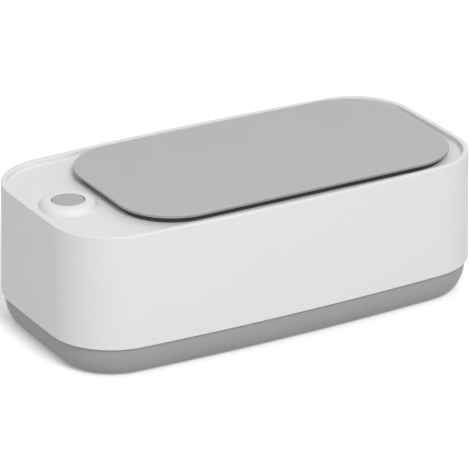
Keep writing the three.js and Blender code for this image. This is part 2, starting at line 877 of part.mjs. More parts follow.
function makeDriverBoard() {
  const board = blockAt(
    boardCentre, 0, boardLength, boardWidth, [boardBottom, boardBottom + boardThickness],
  );
  return board.subtract(joinAll(boardScrews.map(([x, y]) => rod(
    x, y, boardScrewRadius + sideGap,
    [boardBottom - overrun, boardBottom + boardThickness + overrun], pinSides,
  ))));
}

// A ferrite frame with two windows, open at the front and back for the winding
function makeTransformerCore() {
  const [x, y] = onBoard(transformerShares);
  const yoke = blockAt(x, y, coreLength, coreWidth, [partSeat, partSeat + coreHeight]);
  const window = coreLength / 2 - coreLeg - coreLeg / 2;
  const middle = coreLeg / 2 + window / 2;
  const windowZs = [partSeat + coreLeg, partSeat + coreHeight - coreLeg];
  return yoke.subtract(joinAll([-middle, middle].map((offset) => blockAt(
    x + offset, y, window, coreWidth + 2 * overrun, windowZs,
  ))));
}

// The winding goes round the middle leg and swells out in front and behind
function makeTransformerWinding() {
  const [x, y] = onBoard(transformerShares);
  const reach = coreLength / 2 - coreLeg - sideGap;
  const zs = [partSeat + coreLeg + sideGap, partSeat + coreHeight - coreLeg - sideGap];
  const depth = coreWidth + 2 * coreLeg;
  const outside = blockAt(x, y, 2 * reach, depth, zs);
  const inside = blockAt(
    x, y, coreLeg + 2 * sideGap, coreWidth + 2 * sideGap, [zs[0] - overrun, zs[1] + overrun],
  );
  return outside.subtract(inside);
}

function makeCapacitor(shares, radius, height) {
  const [x, y] = onBoard(shares);
  const edge = radius / 8;
  const neck = height / 8;
  return turned([
    [0, partSeat],
    [radius - edge, partSeat],
    [radius, partSeat + edge],
    [radius, partSeat + neck],
    [radius - edge, partSeat + neck + edge],
    [radius, partSeat + neck + 2 * edge],
    [radius, partSeat + height - edge],
    [radius - edge, partSeat + height],
    [0, partSeat + height],
  ], x, y, canSides);
}

function makeTransistor() {
  const [x, y] = onBoard(heatSinkShares);
  const left = x + sinkPlate + seatGap;
  return block(
    [left, left + transistorThickness], [y - transistorWidth / 2, y + transistorWidth / 2],
    [partSeat, partSeat + transistorHeight],
  );
}

function makeHeatSink() {
  const [x, y] = onBoard(heatSinkShares);
  const zs = [partSeat, partSeat + sinkHeight];
  const plate = block([x, x + sinkPlate], [y - sinkWidth / 2, y + sinkWidth / 2], zs);
  const finPitch = (sinkWidth - finThickness) / (finCount - 1);
  const fins = Array.from({ length: finCount }, (_, index) => {
    const finY = y - sinkWidth / 2 + finThickness / 2 + index * finPitch;
    return block(
      [x - finReach, x + sinkPlate / 2], [finY - finThickness / 2, finY + finThickness / 2], zs,
    );
  });
  return joinAll([plate, ...fins]);
}

// A header housing, open at the top where the wires go in
function makeConnector(shares) {
  const [x, y] = onBoard(shares);
  const zs = [partSeat, partSeat + connectorHeight];
  const pocket = blockAt(
    x, y, connectorLength - 2 * connectorWall, connectorWidth - 2 * connectorWall,
    [partSeat + connectorWall, zs[1] + overrun],
  );
  return blockAt(x, y, connectorLength, connectorWidth, zs).subtract(pocket);
}

// Cells 1, 3 and so on point their positive end along +X, the cells between them along -X
function cellY(index) {
  return (index - (cellCount - 1) / 2) * cellPitch;
}

function terminalYs() {
  return [cellY(0), cellY(cellCount - 1)];
}

// Turns a piece made along +Z to lie along +X, or along -X where the sign is negative
function towards(sign, geometry) {
  geometry.rotateY(sign * Math.PI / 2);
  return geometry;
}

function makeCell(index) {
  const sign = index % 2 === 0 ? 1 : -1;
  const shoulder = cellLength - nubLength;
  const edge = cellRadius / 8;
  const profile = [
    [0, 0],
    [cellRadius - edge, 0],
    [cellRadius, edge],
    [cellRadius, shoulder - edge],
    [cellRadius - edge, shoulder],
    [nubRadius, shoulder],
    [nubRadius, cellLength],
    [0, cellLength],
  ].map(([radius, height]) => new THREE.Vector2(radius, height));
  const geometry = new THREE.LatheGeometry(profile, canSides);
  geometry.rotateX(Math.PI / 2);
  towards(sign, geometry);
  const springEnd = contactThickness + 3 * seatGap + contactSpringLength;
  const start = sign > 0 ? compartmentLeft + springEnd : compartmentRight - springEnd;
  geometry.translate(start, cellY(index), cellAxisHeight);
  return toSolid(geometry);
}

function makeCellSpring(index) {
  const sign = index % 2 === 0 ? 1 : -1;
  const geometry = coil(
    contactSpringRadius, contactSpringWire, contactSpringLength, contactSpringTurns,
  );
  towards(sign, geometry);
  const plateFace = contactThickness + 2 * seatGap;
  const start = sign > 0 ? compartmentLeft + plateFace : compartmentRight - plateFace;
  geometry.translate(start, cellY(index), cellAxisHeight);
  return toSolid(geometry);
}

// A strip across one cell, or across two that it links, with a tab at the terminal cells
function makeContact(first, last, sign, hasTab) {
  const left = sign > 0 ? compartmentRight - seatGap - contactThickness : compartmentLeft + seatGap;
  const xs = [left, left + contactThickness];
  const half = contactHeight / 2;
  const strip = block(
    xs, [cellY(first) - half, cellY(last) + half], [cellAxisHeight - half, cellAxisHeight + half],
  );
  if (!hasTab) {
    return strip;
  }
  const tab = block(
    [compartmentLeft - ribThickness - tabReach, xs[1]],
    [cellY(first) - tabWidth / 2, cellY(first) + tabWidth / 2],
    [cellAxisHeight - contactThickness / 2, cellAxisHeight + contactThickness / 2],
  );
  return strip.add(tab);
}

// A wire from a connector's pocket, up, along and on to where it is soldered
function makeWire(points) {
  const curve = new THREE.CatmullRomCurve3(points.map((point) => new THREE.Vector3(...point)));
  return toSolid(tubeAlong(curve, wireRadius, wireSides, wireSteps));
}

const wireStart = partSeat + connectorWall + sideGap + wireRadius;
const wireCrest = partSeat + connectorHeight + wirePitch;

function batteryWire(side) {
  const [x, y] = onBoard(batteryConnectorShares);
  const startY = y + side * wirePitch / 2;
  const endY = side < 0 ? terminalYs()[0] : terminalYs()[1];
  const tabEnd = compartmentLeft - ribThickness - tabReach - sideGap;
  return makeWire([
    [x, startY, wireStart],
    [x, startY, wireCrest],
    [x + connectorLength, startY + side * wirePitch / 2, wireCrest],
    [tabEnd - connectorLength, endY, cellAxisHeight],
    [tabEnd, endY, cellAxisHeight],
  ]);
}

function transducerWire(side) {
  const [x, y] = onBoard(transducerConnectorShares);
  const startY = y + side * wirePitch / 2;
  const end = ceramicBottom - sideGap;
  return makeWire([
    [x, startY, wireStart],
    [x, startY, wireCrest],
    [x + connectorLength, startY, wireCrest],
    [lidCentre, side * wirePitch, end - wirePitch],
    [lidCentre, side * wirePitch, end],
  ]);
}

function keyWire(side) {
  const [x, y] = onBoard(keyConnectorShares);
  const startY = y + side * wirePitch / 2;
  const endX = buttonCentre + keyBoardLength / 4;
  const endY = keyBoardWidth / 4 + side * wirePitch / 2;
  const end = keyBoardBottom - sideGap;
  return makeWire([
    [x, startY, wireStart],
    [x, startY, wireCrest],
    [boardLeft - connectorWidth, startY, wireCrest + wirePitch],
    [endX, endY, tankBottom + tankFillet],
    [endX, endY, end],
  ]);
}

// Housing
addPiece("outer_shell", makeOuterShell(), finishes.whiteShell);
addPiece("base_pan", makeBasePan(), finishes.greyBase);
addPiece("battery_door", makeBatteryDoor(), finishes.greyBase);
for (const corner of housingCorners) {
  const seat = screwHeadTop;
  addPiece(`foot_${corner.name}`, makeFoot(corner), finishes.rubber);
  addPiece(
    `housing_screw_${corner.name}`,
    makeScrew(corner.x, corner.y, screwRadius, screwHeadRadius, seat, screwTip),
    finishes.zincSteel,
  );
}

// Tank and transducer
addPiece("tank", makeTank(), finishes.tankSteel);
addPiece("tank_seal", makeTankSeal(), finishes.softSeal);
addPiece("transducer_plate", rod(
  lidCentre, 0, transducerPlateRadius,
  [transducerPlateBottom, transducerPlateBottom + transducerPlateThickness], discSides,
), finishes.aluminium);
addPiece("transducer_ceramic", rod(
  lidCentre, 0, ceramicRadius, [ceramicBottom, ceramicBottom + ceramicThickness], discSides,
), finishes.ceramic);

// Lid
addPiece("lid_plate", makeLidPlate(), finishes.greyLid);
addPiece("lid_liner", makeLidLiner(), finishes.darkLiner);
addPiece("lid_seal", makeLidSeal(), finishes.softSeal);

// Button
addPiece("button_collar", makeButtonCollar(), finishes.whiteShell);
addPiece("button_cap", makeButtonCap(), finishes.greyButton);
addPiece("button_spring", makeButtonSpring(), finishes.zincSteel);
addPiece("tact_switch", makeTactSwitch(), finishes.blackPlastic);
addPiece("key_board", makeKeyBoard(), finishes.greenBoard);
keyScrews.forEach((y, index) => {
  const seat = keyBoardBottom - seatGap;
  const tip = deckHeight - deckThickness;
  addPiece(
    `key_board_screw_${index + 1}`,
    makeScrew(buttonCentre, y, boardScrewRadius, screwHeadRadius, seat, tip),
    finishes.zincSteel,
  );
});

// Driver
addPiece("driver_board", makeDriverBoard(), finishes.greenBoard);
boardScrews.forEach(([x, y], index) => {
  addPiece(
    `driver_board_screw_${index + 1}`,
    makeScrew(x, y, boardScrewRadius, screwHeadRadius, partSeat, partSeat - boardScrewLength),
    finishes.zincSteel,
  );
});
addPiece("transformer_core", makeTransformerCore(), finishes.ferrite);
addPiece("transformer_winding", makeTransformerWinding(), finishes.copper);
addPiece(
  "capacitor_large",
  makeCapacitor(largeCapacitorShares, largeCapacitorRadius, largeCapacitorHeight),
  finishes.blackPlastic,
);
addPiece(
  "capacitor_small",
  makeCapacitor(smallCapacitorShares, smallCapacitorRadius, smallCapacitorHeight),
  finishes.blackPlastic,
);
addPiece("transistor", makeTransistor(), finishes.blackPlastic);
addPiece("heat_sink", makeHeatSink(), finishes.aluminium);
addPiece("battery_connector", makeConnector(batteryConnectorShares), finishes.ivoryPlastic);
addPiece("transducer_connector", makeConnector(transducerConnectorShares), finishes.ivoryPlastic);
addPiece("key_connector", makeConnector(keyConnectorShares), finishes.ivoryPlastic);
for (const [side, colour, finish] of [[-1, "red", finishes.redWire], [1, "black", finishes.blackWire]]) {
  addPiece(`battery_wire_${colour}`, batteryWire(side), finish);
  addPiece(`transducer_wire_${colour}`, transducerWire(side), finish);
  addPiece(`key_wire_${colour}`, keyWire(side), finish);
}

// Cells and contacts
for (let index = 0; index < cellCount; index++) {
  addPiece(`cell_${index + 1}`, makeCell(index), finishes.cellJacket);
  addPiece(`cell_spring_${index + 1}`, makeCellSpring(index), finishes.zincSteel);
}
for (let pair = 0; pair < cellCount / 2; pair++) {
  const first = 2 * pair;
  addPiece(`contact_right_${pair + 1}`, makeContact(first, first + 1, 1, false), finishes.zincSteel);
}
for (let strip = 0; strip <= cellCount / 2; strip++) {
  const first = Math.max(0, 2 * strip - 1);
  const last = Math.min(cellCount - 1, 2 * strip);
  const contact = makeContact(first, last, -1, first === last);
  addPiece(`contact_left_${strip + 1}`, contact, finishes.zincSteel);
}

export default group;
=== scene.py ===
# Looks for a portable ultrasonic cleaner: a white housing with a bowed outline on a grey base, a
# grey lid over a drawn steel tank, a push button in a domed ring and a battery cover underneath.
# Metres, +Z up. The button end points along -X and the long front side faces -Y.

import json
import math

import bmesh
import bpy
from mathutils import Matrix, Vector
from mathutils.geometry import intersect_sphere_sphere_2d


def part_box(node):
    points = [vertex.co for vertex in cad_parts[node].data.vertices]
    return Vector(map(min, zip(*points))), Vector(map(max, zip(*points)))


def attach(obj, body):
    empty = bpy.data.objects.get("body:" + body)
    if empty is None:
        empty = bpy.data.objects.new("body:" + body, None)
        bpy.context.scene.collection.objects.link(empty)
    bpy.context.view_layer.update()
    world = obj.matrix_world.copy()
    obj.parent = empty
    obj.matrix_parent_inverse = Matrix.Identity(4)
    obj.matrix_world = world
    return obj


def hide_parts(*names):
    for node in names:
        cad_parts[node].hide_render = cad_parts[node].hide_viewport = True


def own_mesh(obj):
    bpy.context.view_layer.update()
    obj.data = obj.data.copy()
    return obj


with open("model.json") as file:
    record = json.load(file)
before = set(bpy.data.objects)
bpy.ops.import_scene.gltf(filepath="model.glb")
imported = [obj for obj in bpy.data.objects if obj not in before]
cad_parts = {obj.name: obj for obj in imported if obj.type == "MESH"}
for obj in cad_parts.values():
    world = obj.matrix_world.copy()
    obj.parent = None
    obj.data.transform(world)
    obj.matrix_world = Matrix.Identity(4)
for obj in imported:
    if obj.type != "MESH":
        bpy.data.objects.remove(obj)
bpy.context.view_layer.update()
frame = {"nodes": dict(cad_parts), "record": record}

MM = 0.001

# Slack in comparing places, the reach in which doubles are merged, and the room round fitted parts
TINY = 0.02 * MM
WELD = TINY / 4
PLAY = 0.3 * MM
SMOOTH_ANGLE = math.radians(35)

# Body outline, seen from above
BODY_LENGTH = 200 * MM
BODY_WIDTH = 102 * MM
CORNER_RADIUS = 28.6 * MM
SIDE_BOW = 2.2 * MM
END_BOW = 0.2 * MM

# Heights of the housing
FOOT_PROUD = 0.6 * MM
BASE_TOP = 13.9 * MM
SEAM = 14.2 * MM
TONGUE_TOP = 16.7 * MM
PILOT_TOP = 27.7 * MM
DECK_UNDERSIDE = 58.7 * MM
DECK = 61.1 * MM
RIM = 63.8 * MM

# Walls and roundings of the housing
SHELL_WALL = 2.4 * MM
WALL_DRAFT = 1.1 * MM
RIM_ROUNDING = 0.5 * MM
DECK_FILLET = 0.8 * MM
SEAM_ROUNDING = 0.15 * MM
BASE_INSET = 1.3 * MM
BASE_CURVE = 6.5 * MM
BASE_WALL = 2 * MM

# Ribs, bosses and posts inside the housing. The gussets' places are shares of the lid's length
RIB = 1.2 * MM
RIB_DEPTH = 5 * MM
GUSSETS = (-0.36, -0.12, 0.12, 0.36)
TONGUE_ROOT = 3 * MM
FLOOR_MIDDLE = 1.6 * MM
BOSS_RADIUS = 3.2 * MM
SCREW_HOLE_RADIUS = 1.5 * MM
SCREW_HEAD_RADIUS = 2.8 * MM
SCREW_HEAD_TOP = 4 * MM
POST_RADIUS = 2.6 * MM
POST_HOLE_RADIUS = 1.4 * MM
BOARD_POST_TOP = 6.6 * MM
BOARD_PILOT_TOP = 8 * MM
KEY_SCREW_Y = 14.76 * MM
KEY_BOARD_GAP = 0.2 * MM

# Lid, and the tank that follows its outline. Insets are measured from the edge of the lid, the
# places of pins and ribs are shares of its size, and ribs are measured down from LINER_TOP
LID_LENGTH = 157.4 * MM
LID_WIDTH = 85.6 * MM
LID_CORNER = 25.5 * MM
LID_CENTRE = 12.4 * MM
LID_TOP = 65.2 * MM
LID_THICKNESS = 1.2 * MM
LID_ROUNDING = 0.35 * MM
LID_UNDER_ROUNDING = 0.1 * MM
PIN_SHARE = 0.4
PIN_RADIUS = 1.3 * MM
PIN_ROOT = 0.5 * MM
PIN_HOLE_RADIUS = 1.6 * MM
PIN_HOLE_DEPTH = 1.1 * MM
LINER_INSET = 2.3 * MM
LINER_TOP = 63.8 * MM
LINER_BOTTOM = 61.3 * MM
LINER_ROUNDING = 0.3 * MM
LINER_RIBS = (-0.3, 0, 0.3)
LINER_RIB_BOTTOM = 2.2 * MM
LINER_RIB_TOP = 0.7 * MM
PLUG_BOTTOM = 56.3 * MM
PLUG_WALL = 2.4 * MM
PLUG_ROOF = 1.4 * MM
PLUG_ROUNDING = 0.5 * MM
SEAL_GROOVE = (57.7 * MM, 59.9 * MM)
SEAL_GROOVE_DEPTH = 0.8 * MM
SEAL_BITE = 0.6 * MM
SEAL_LIP = 0.5 * MM
FLANGE_INSET = 5.2 * MM
MOUTH_INSET = 8.7 * MM
PLUG_INSET = 9.9 * MM
TANK_FLOOR = 23.8 * MM
TANK_SHEET = 0.6 * MM
TANK_FILLET = 7.4 * MM
TANK_DRAFT = 1.5 * MM
TANK_MOUTH_ROUNDING = 0.9 * MM
TANK_HOLE_INSET = MOUTH_INSET - TANK_SHEET - PLAY
FLANGE_SEAT = 59.6 * MM

# Button and its ring
BUTTON_X = -80.9 * MM
COLLAR_RADIUS = 12 * MM
COLLAR_FLARE = 0.6 * MM
COLLAR_EDGE = 0.3 * MM
BORE_RADIUS = 7.1 * MM
SLEEVE_RADIUS = 8.7 * MM
CLIP_REACH = 0.7 * MM
CLIP_DEPTH = 1.5 * MM
CLIP_LEAD = 0.5 * MM
CAP_RADIUS = 6.8 * MM
CAP_WALL = 1 * MM
CAP_EDGE = 0.35 * MM
CAP_FLANGE = 1 * MM
STEM_RADIUS = 1.6 * MM
STEM_GAP = 1.3 * MM
SPRING_WIRE = 0.3 * MM
SPRING_TURNS = 5

# Feet, and what the base has round them
FOOT_X = 81.7 * MM
FOOT_Y = 30.6 * MM
FOOT_RADIUS = 5.5 * MM
FOOT_TOP = 1.8 * MM
FOOT_ROUNDING = 0.6 * MM
FOOT_RECESS_RADIUS = 5.8 * MM
FOOT_RECESS_TOP = 2 * MM
FOOT_PAD_RADIUS = 7 * MM
FOOT_PAD_TOP = 4.2 * MM

# Cells
CELL_RADIUS = 5.25 * MM
CELL_LENGTH = 44.5 * MM
CELL_PITCH = 10.7 * MM
CELL_AXIS = 8.55 * MM
CELL_EDGE = 0.5 * MM
CELL_DISH = 0.15 * MM
CRIMP = 0.2 * MM
CELL_END_RADIUS = 3.9 * MM
CELL_CAN_RADIUS = 4.0 * MM
NUB_LENGTH = 0.8 * MM
NUB_RADIUS = 1.9 * MM
NUB_ROUNDING = 0.3 * MM
CELL_BAND_START = 0.72

# Battery bay and its sliding cover
BAY_LEFT = 39.8 * MM
BAY_RIGHT = 90.3 * MM
BAY_HALF = 21.5 * MM
BAY_CEILING = 14.1 * MM
COVER_LEFT = 36.8 * MM
COVER_LIP = 1.5 * MM
COVER_TOP = 2.8 * MM
COVER_FLANGE = 1 * MM
COVER_FLANGE_BOTTOM = 1.7 * MM
CHANNEL_TOP = 3.1 * MM
CHANNEL_MARGIN = 1.5 * MM
TAB_SLOT_DEPTH = 2.2 * MM
TAB_SLOT_HALF = (1.8 * MM, 0.5 * MM)
GRIPS = 5
GRIP_RADIUS = 0.58 * MM
GRIP_DEPTH = 0.4 * MM
GRIP_HALF = 12 * MM
GRIP_PITCH = 2.4 * MM

CORNERS = {
    "front_left": (-FOOT_X, -FOOT_Y),
    "front_right": (FOOT_X, -FOOT_Y),
    "back_left": (-FOOT_X, FOOT_Y),
    "back_right": (FOOT_X, FOOT_Y),
}

# Light and camera
WORLD_STRENGTH = 0.57
LIGHT_AIM = Vector((0, 0, 0.03))
FLOOR_SIZE = 12
FLOOR_TONE = 0.6
FLOOR_GLOW = 0.22
CAMERA_TARGET = Vector((-1.10, 0, 30.86)) * MM
CAMERA_PLACE = Vector((-679.7, -1179.6, 614.7)) * MM
CAMERA_LENS = 264.7
CAMERA_SENSOR = 36
CAMERA_NEAREST = 0.05


# Modelling steps


def object_mode():
    if bpy.context.object and bpy.context.object.mode != "OBJECT":
        bpy.ops.object.mode_set(mode="OBJECT")


def only(piece):
    """Selects one piece and nothing else."""
    object_mode()
    bpy.ops.object.select_all(action="DESELECT")
    piece.select_set(True)
    bpy.context.view_layer.objects.active = piece


def edit(piece):
    """Opens a piece in edit mode with all of it selected."""
    only(piece)
    bpy.ops.object.mode_set(mode="EDIT")
    bpy.ops.mesh.select_mode(type="VERT")
    bpy.ops.mesh.select_all(action="SELECT")


def move(value):
    bpy.ops.transform.translate(value=value)


def extrude(rise):
    bpy.ops.mesh.extrude_region_move(TRANSFORM_OT_translate={"value": (0, 0, rise)})


def begin(name):
    """A new piece that is still one flat square at the origin, left in edit mode."""
    object_mode()
    bpy.ops.object.select_all(action="DESELECT")
    bpy.ops.mesh.primitive_plane_add(size=1)
    piece = bpy.context.object
    piece.name = name
    piece.data.name = name
    edit(piece)
    return piece


def begin_at_point(name, place):
    """A new piece that is still one point, left in edit mode."""
    piece = begin(name)
    bpy.ops.mesh.merge(type="CENTER")
    move(place)
    return piece


def close_up():
    """Merges doubles and turns every face outwards on a closed piece."""
    bpy.ops.mesh.select_all(action="SELECT")
    bpy.ops.mesh.remove_doubles(threshold=WELD)
    bpy.ops.mesh.normals_make_consistent(inside=False)


def pick(piece, kind, test):
    """Selects the edges or faces of a piece in edit mode by their place or normal."""
    bpy.ops.mesh.select_mode(type=kind)
    bpy.ops.mesh.select_all(action="DESELECT")
    shape = bmesh.from_edit_mesh(piece.data)
    parts = shape.edges if kind == "EDGE" else shape.faces
    chosen = [part for part in parts if test(part)]
    for part in chosen:
        part.select_set(True)
    bmesh.update_edit_mesh(piece.data)


def lies_at(height):
    return lambda edge: all(abs(vert.co.z - height) < TINY for vert in edge.verts)


def faces_up_at(height):
    return lambda face: face.normal.z > 0.9 and abs(face.calc_center_median().z - height) < TINY


def faces_down_at(height):
    return lambda face: face.normal.z < -0.9 and abs(face.calc_center_median().z - height) < TINY


def is_outer(edge, middle_x):
    """Whether an upright face beside an edge looks away from the line x = middle_x, y = 0."""
    middle = (edge.verts[0].co + edge.verts[1].co) / 2
    outwards = Vector((middle.x - middle_x, middle.y, 0))
    return any(
        abs(face.normal.z) < 0.1 and face.normal.dot(outwards) > TINY for face in edge.link_faces
    )


def round_edges(piece, test, width, segments):
    pick(piece, "EDGE", test)
    bpy.ops.mesh.bevel(offset=width, segments=segments, affect="EDGES", clamp_overlap=False)


def combine(piece, other, operation):
    """Joins, cuts or trims a piece with another solid, which is used up."""
    only(piece)
    bpy.ops.object.modifier_add(type="BOOLEAN")
    step = piece.modifiers[-1]
    step.operation = operation
    step.solver = "EXACT"
    step.object = other
    bpy.ops.object.modifier_apply(modifier=step.name)
    only(other)
    bpy.ops.object.delete()
    edit(piece)
    bpy.ops.mesh.remove_doubles(threshold=WELD)
    object_mode()


def thicken(piece, wall):
    """Gives an open sheet a wall behind the side that its faces point to."""
    only(piece)
    bpy.ops.object.modifier_add(type="SOLIDIFY")
    step = piece.modifiers[-1]
    step.thickness = wall
    step.offset = -1
    step.use_even_offset = True
    bpy.ops.object.modifier_apply(modifier=step.name)


def block(name, xs, ys, zs):
    """A square-edged solid between three pairs of coordinates."""
    piece = begin(name)
    bpy.ops.transform.resize(value=(xs[1] - xs[0], ys[1] - ys[0], 1))
    move(((xs[0] + xs[1]) / 2, (ys[0] + ys[1]) / 2, zs[0]))
    extrude(zs[1] - zs[0])
    close_up()
    object_mode()
    return piece


def post(name, x, y, radius, zs, sides=32):
    """An upright round solid, for a boss or a hole."""
    object_mode()
    bpy.ops.object.select_all(action="DESELECT")
    bpy.ops.mesh.primitive_cylinder_add(
        vertices=sides, radius=radius, depth=zs[1] - zs[0], location=(x, y, (zs[0] + zs[1]) / 2)
    )
    bpy.context.object.name = name
    return bpy.context.object


def arc(centre, radii, start, end, steps):
    """Profile points on part of an ellipse, between two angles in degrees."""
    points = []
    for step in range(steps + 1):
        turn = math.radians(start + (end - start) * step / steps)
        points.append((
            centre[0] + radii[0] * math.cos(turn), centre[1] + radii[1] * math.sin(turn),
        ))
    return points


def spin_profile(name, profile, foot, along, out, steps):
    """A round piece: its profile is drawn point by point, then spun about the line along."""
    foot, along, out = Vector(foot), Vector(along), Vector(out)
    places = [foot + out * radius + along * height for radius, height in profile]
    piece = begin_at_point(name, places[0])
    for start, end in zip(places, places[1:]):
        bpy.ops.mesh.extrude_region_move(TRANSFORM_OT_translate={"value": end - start})
    bpy.ops.mesh.select_all(action="SELECT")
    bpy.ops.mesh.spin(steps=steps, angle=math.tau, center=foot, axis=along)
    close_up()
    object_mode()
    return piece


def spin_upright(name, profile, x, y, steps):
    """A round piece that stands upright, from a profile of radii and heights."""
    return spin_profile(name, profile, (x, y, 0), along=(0, 0, 1), out=(1, 0, 0), steps=steps)


def copy_shifted(piece, name, shift):
    """A copy with its own mesh, moved to its place there."""
    only(piece)
    bpy.ops.object.duplicate()
    copy = bpy.context.object
    copy.name = name
    copy.data.name = name
    edit(copy)
    move(shift)
    object_mode()
    return copy


def turn_half_round(piece):
    """Turns a piece end for end about the upright line through its middle."""
    middle = sum((Vector(corner) for corner in piece.bound_box), Vector()) / 8
    edit(piece)
    bpy.ops.transform.rotate(value=math.pi, orient_axis="Z", center_override=middle)
    object_mode()


def colour_faces(piece, test, slot):
    """Gives one of the piece's materials to the faces that pass a test, in edit mode."""
    pick(piece, "FACE", test)
    piece.active_material_index = slot
    bpy.ops.object.material_slot_assign()


def finish_piece(piece, finish, body, nodes):
    """Smooths a piece, gives it its finish and puts it in the place of its CAD nodes."""
    only(piece)
    bpy.ops.object.shade_smooth_by_angle(angle=SMOOTH_ANGLE)
    bpy.ops.object.modifier_add(type="WEIGHTED_NORMAL")
    piece.modifiers[-1].keep_sharp = True
    bpy.ops.object.modifier_apply(modifier=piece.modifiers[-1].name)
    if finish:
        piece.data.materials.clear()
        piece.data.materials.append(finish)
    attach(piece, body)
    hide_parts(*nodes)


# Outlines


def body_arcs():
    """Centre, turn and steps of the tangent arcs of the body outline, from the +X end round."""
    side_chord = BODY_LENGTH / 2 - CORNER_RADIUS
    end_chord = BODY_WIDTH / 2 - CORNER_RADIUS
    side_radius = (side_chord ** 2 + SIDE_BOW ** 2) / (2 * SIDE_BOW)
    end_radius = (end_chord ** 2 + END_BOW ** 2) / (2 * END_BOW)
    side = Vector((0, BODY_WIDTH / 2 - side_radius))
    end = Vector((BODY_LENGTH / 2 - end_radius, 0))
    crossings = intersect_sphere_sphere_2d(
        side, side_radius - CORNER_RADIUS, end, end_radius - CORNER_RADIUS
    )
    corner = max(crossings, key=lambda point: point.x + point.y)
    end_turn = math.atan2(corner.y - end.y, corner.x - end.x)
    side_turn = math.atan2(corner.y - side.y, corner.x - side.x)
    corner_turn = side_turn - end_turn
    half = [
        (end, end_turn, 4),
        (corner, corner_turn, 20),
        (side, math.pi - 2 * side_turn, 24),
        (Vector((-corner.x, corner.y)), corner_turn, 20),
        (-end, end_turn, 4),
    ]
    return half + [(-centre, turn, steps) for centre, turn, steps in half]


def body_outline(name, inset, height):
    """A flat face with the body's outline, spun arc by arc round from the +X end."""
    piece = begin_at_point(name, (BODY_LENGTH / 2 - inset, 0, height))
    for centre, turn, steps in body_arcs():
        bpy.ops.mesh.spin(
            steps=steps, angle=-turn, center=(centre.x, centre.y, height), axis=(0, 0, 1)
        )
    bpy.ops.mesh.select_all(action="SELECT")
    bpy.ops.mesh.remove_doubles(threshold=TINY)
    bpy.ops.mesh.edge_face_add()
    return piece


def lid_outline(name, inset, height):
    """A flat face with the lid's outline moved inwards."""
    piece = begin(name)
    bpy.ops.transform.resize(value=(LID_LENGTH - 2 * inset, LID_WIDTH - 2 * inset, 1))
    move((LID_CENTRE, 0, height))
    bpy.ops.mesh.bevel(affect="VERTICES", offset=LID_CORNER - inset, segments=16)
    bpy.ops.mesh.select_all(action="SELECT")
    return piece


def upright(outline, name, inset, zs):
    """A solid of constant outline between two heights."""
    piece = outline(name, inset, zs[0])
    extrude(zs[1] - zs[0])
    close_up()
    object_mode()
    return piece


def ring_wall(outline, name, inset, wall, zs):
    """An upright wall that follows an outline."""
    piece = upright(outline, name, inset, zs)
    inner = upright(outline, name + "_bore", inset + wall, (zs[0] - MM, zs[1] + MM))
    combine(piece, inner, "DIFFERENCE")
    return piece


# Housing


def model_housing():
    """White moulding: wall, rounded rim, sunk deck, tank rebate and, inside, ribs and bosses."""
    piece = body_outline("housing_moulding", 0, SEAM)
    bpy.ops.mesh.inset(thickness=WALL_DRAFT)
    move((0, 0, RIM - SEAM))
    pick(piece, "EDGE", lies_at(SEAM))
    bpy.ops.mesh.edge_face_add()
    close_up()
    pick(piece, "FACE", faces_up_at(RIM))
    bpy.ops.mesh.inset(thickness=SHELL_WALL)
    extrude(DECK - RIM)
    pick(piece, "FACE", faces_down_at(SEAM))
    bpy.ops.mesh.inset(thickness=SHELL_WALL)
    bpy.ops.mesh.inset(thickness=WALL_DRAFT * (DECK_UNDERSIDE - SEAM) / (RIM - SEAM))
    move((0, 0, DECK_UNDERSIDE - SEAM))
    round_edges(piece, lies_at(RIM), RIM_ROUNDING, segments=6)
    round_edges(piece, lies_at(DECK), DECK_FILLET, segments=5)

    def outer_seam(edge):
        return lies_at(SEAM)(edge) and is_outer(edge, 0)

    round_edges(piece, outer_seam, SEAM_ROUNDING, segments=3)
    object_mode()
    add_deck_ribs(piece, DECK_UNDERSIDE - RIB_DEPTH, DECK_UNDERSIDE + RIB)
    add_housing_bosses(piece, DECK_UNDERSIDE + RIB)
    cut_deck(piece)
    finish_piece(piece, finishes["white_shell"], "housing", ["outer_shell"])


def add_deck_ribs(piece, low, high):
    """A rib round the tank hole, and gussets from it to both long walls."""
    rib = upright(lid_outline, "tank_rib", TANK_HOLE_INSET - RIB, (low, high))
    combine(piece, rib, "UNION")
    for share in GUSSETS:
        x = LID_CENTRE + share * LID_LENGTH
        ys = (-BODY_WIDTH / 2, BODY_WIDTH / 2)
        gusset = block("gusset", (x - RIB / 2, x + RIB / 2), ys, (low, high))
        trim = upright(body_outline, "gusset_trim", WALL_DRAFT + SHELL_WALL / 2, (SEAM, RIM))
        combine(gusset, trim, "INTERSECT")
        combine(piece, gusset, "UNION")


def add_housing_bosses(piece, top):
    """Bosses with pilot holes, for the four housing screws and the two of the key board."""
    for x, y in CORNERS.values():
        combine(piece, post("boss", x, y, BOSS_RADIUS, (TONGUE_TOP, top)), "UNION")
        pilot = post("pilot", x, y, SCREW_HOLE_RADIUS, (SEAM, PILOT_TOP))
        combine(piece, pilot, "DIFFERENCE")
    key_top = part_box("key_board")[1].z
    for y in (-KEY_SCREW_Y, KEY_SCREW_Y):
        boss = post("boss", BUTTON_X, y, POST_RADIUS, (key_top + KEY_BOARD_GAP, top))
        combine(piece, boss, "UNION")
        pilot = post("pilot", BUTTON_X, y, POST_HOLE_RADIUS, (key_top - MM, top))
        combine(piece, pilot, "DIFFERENCE")


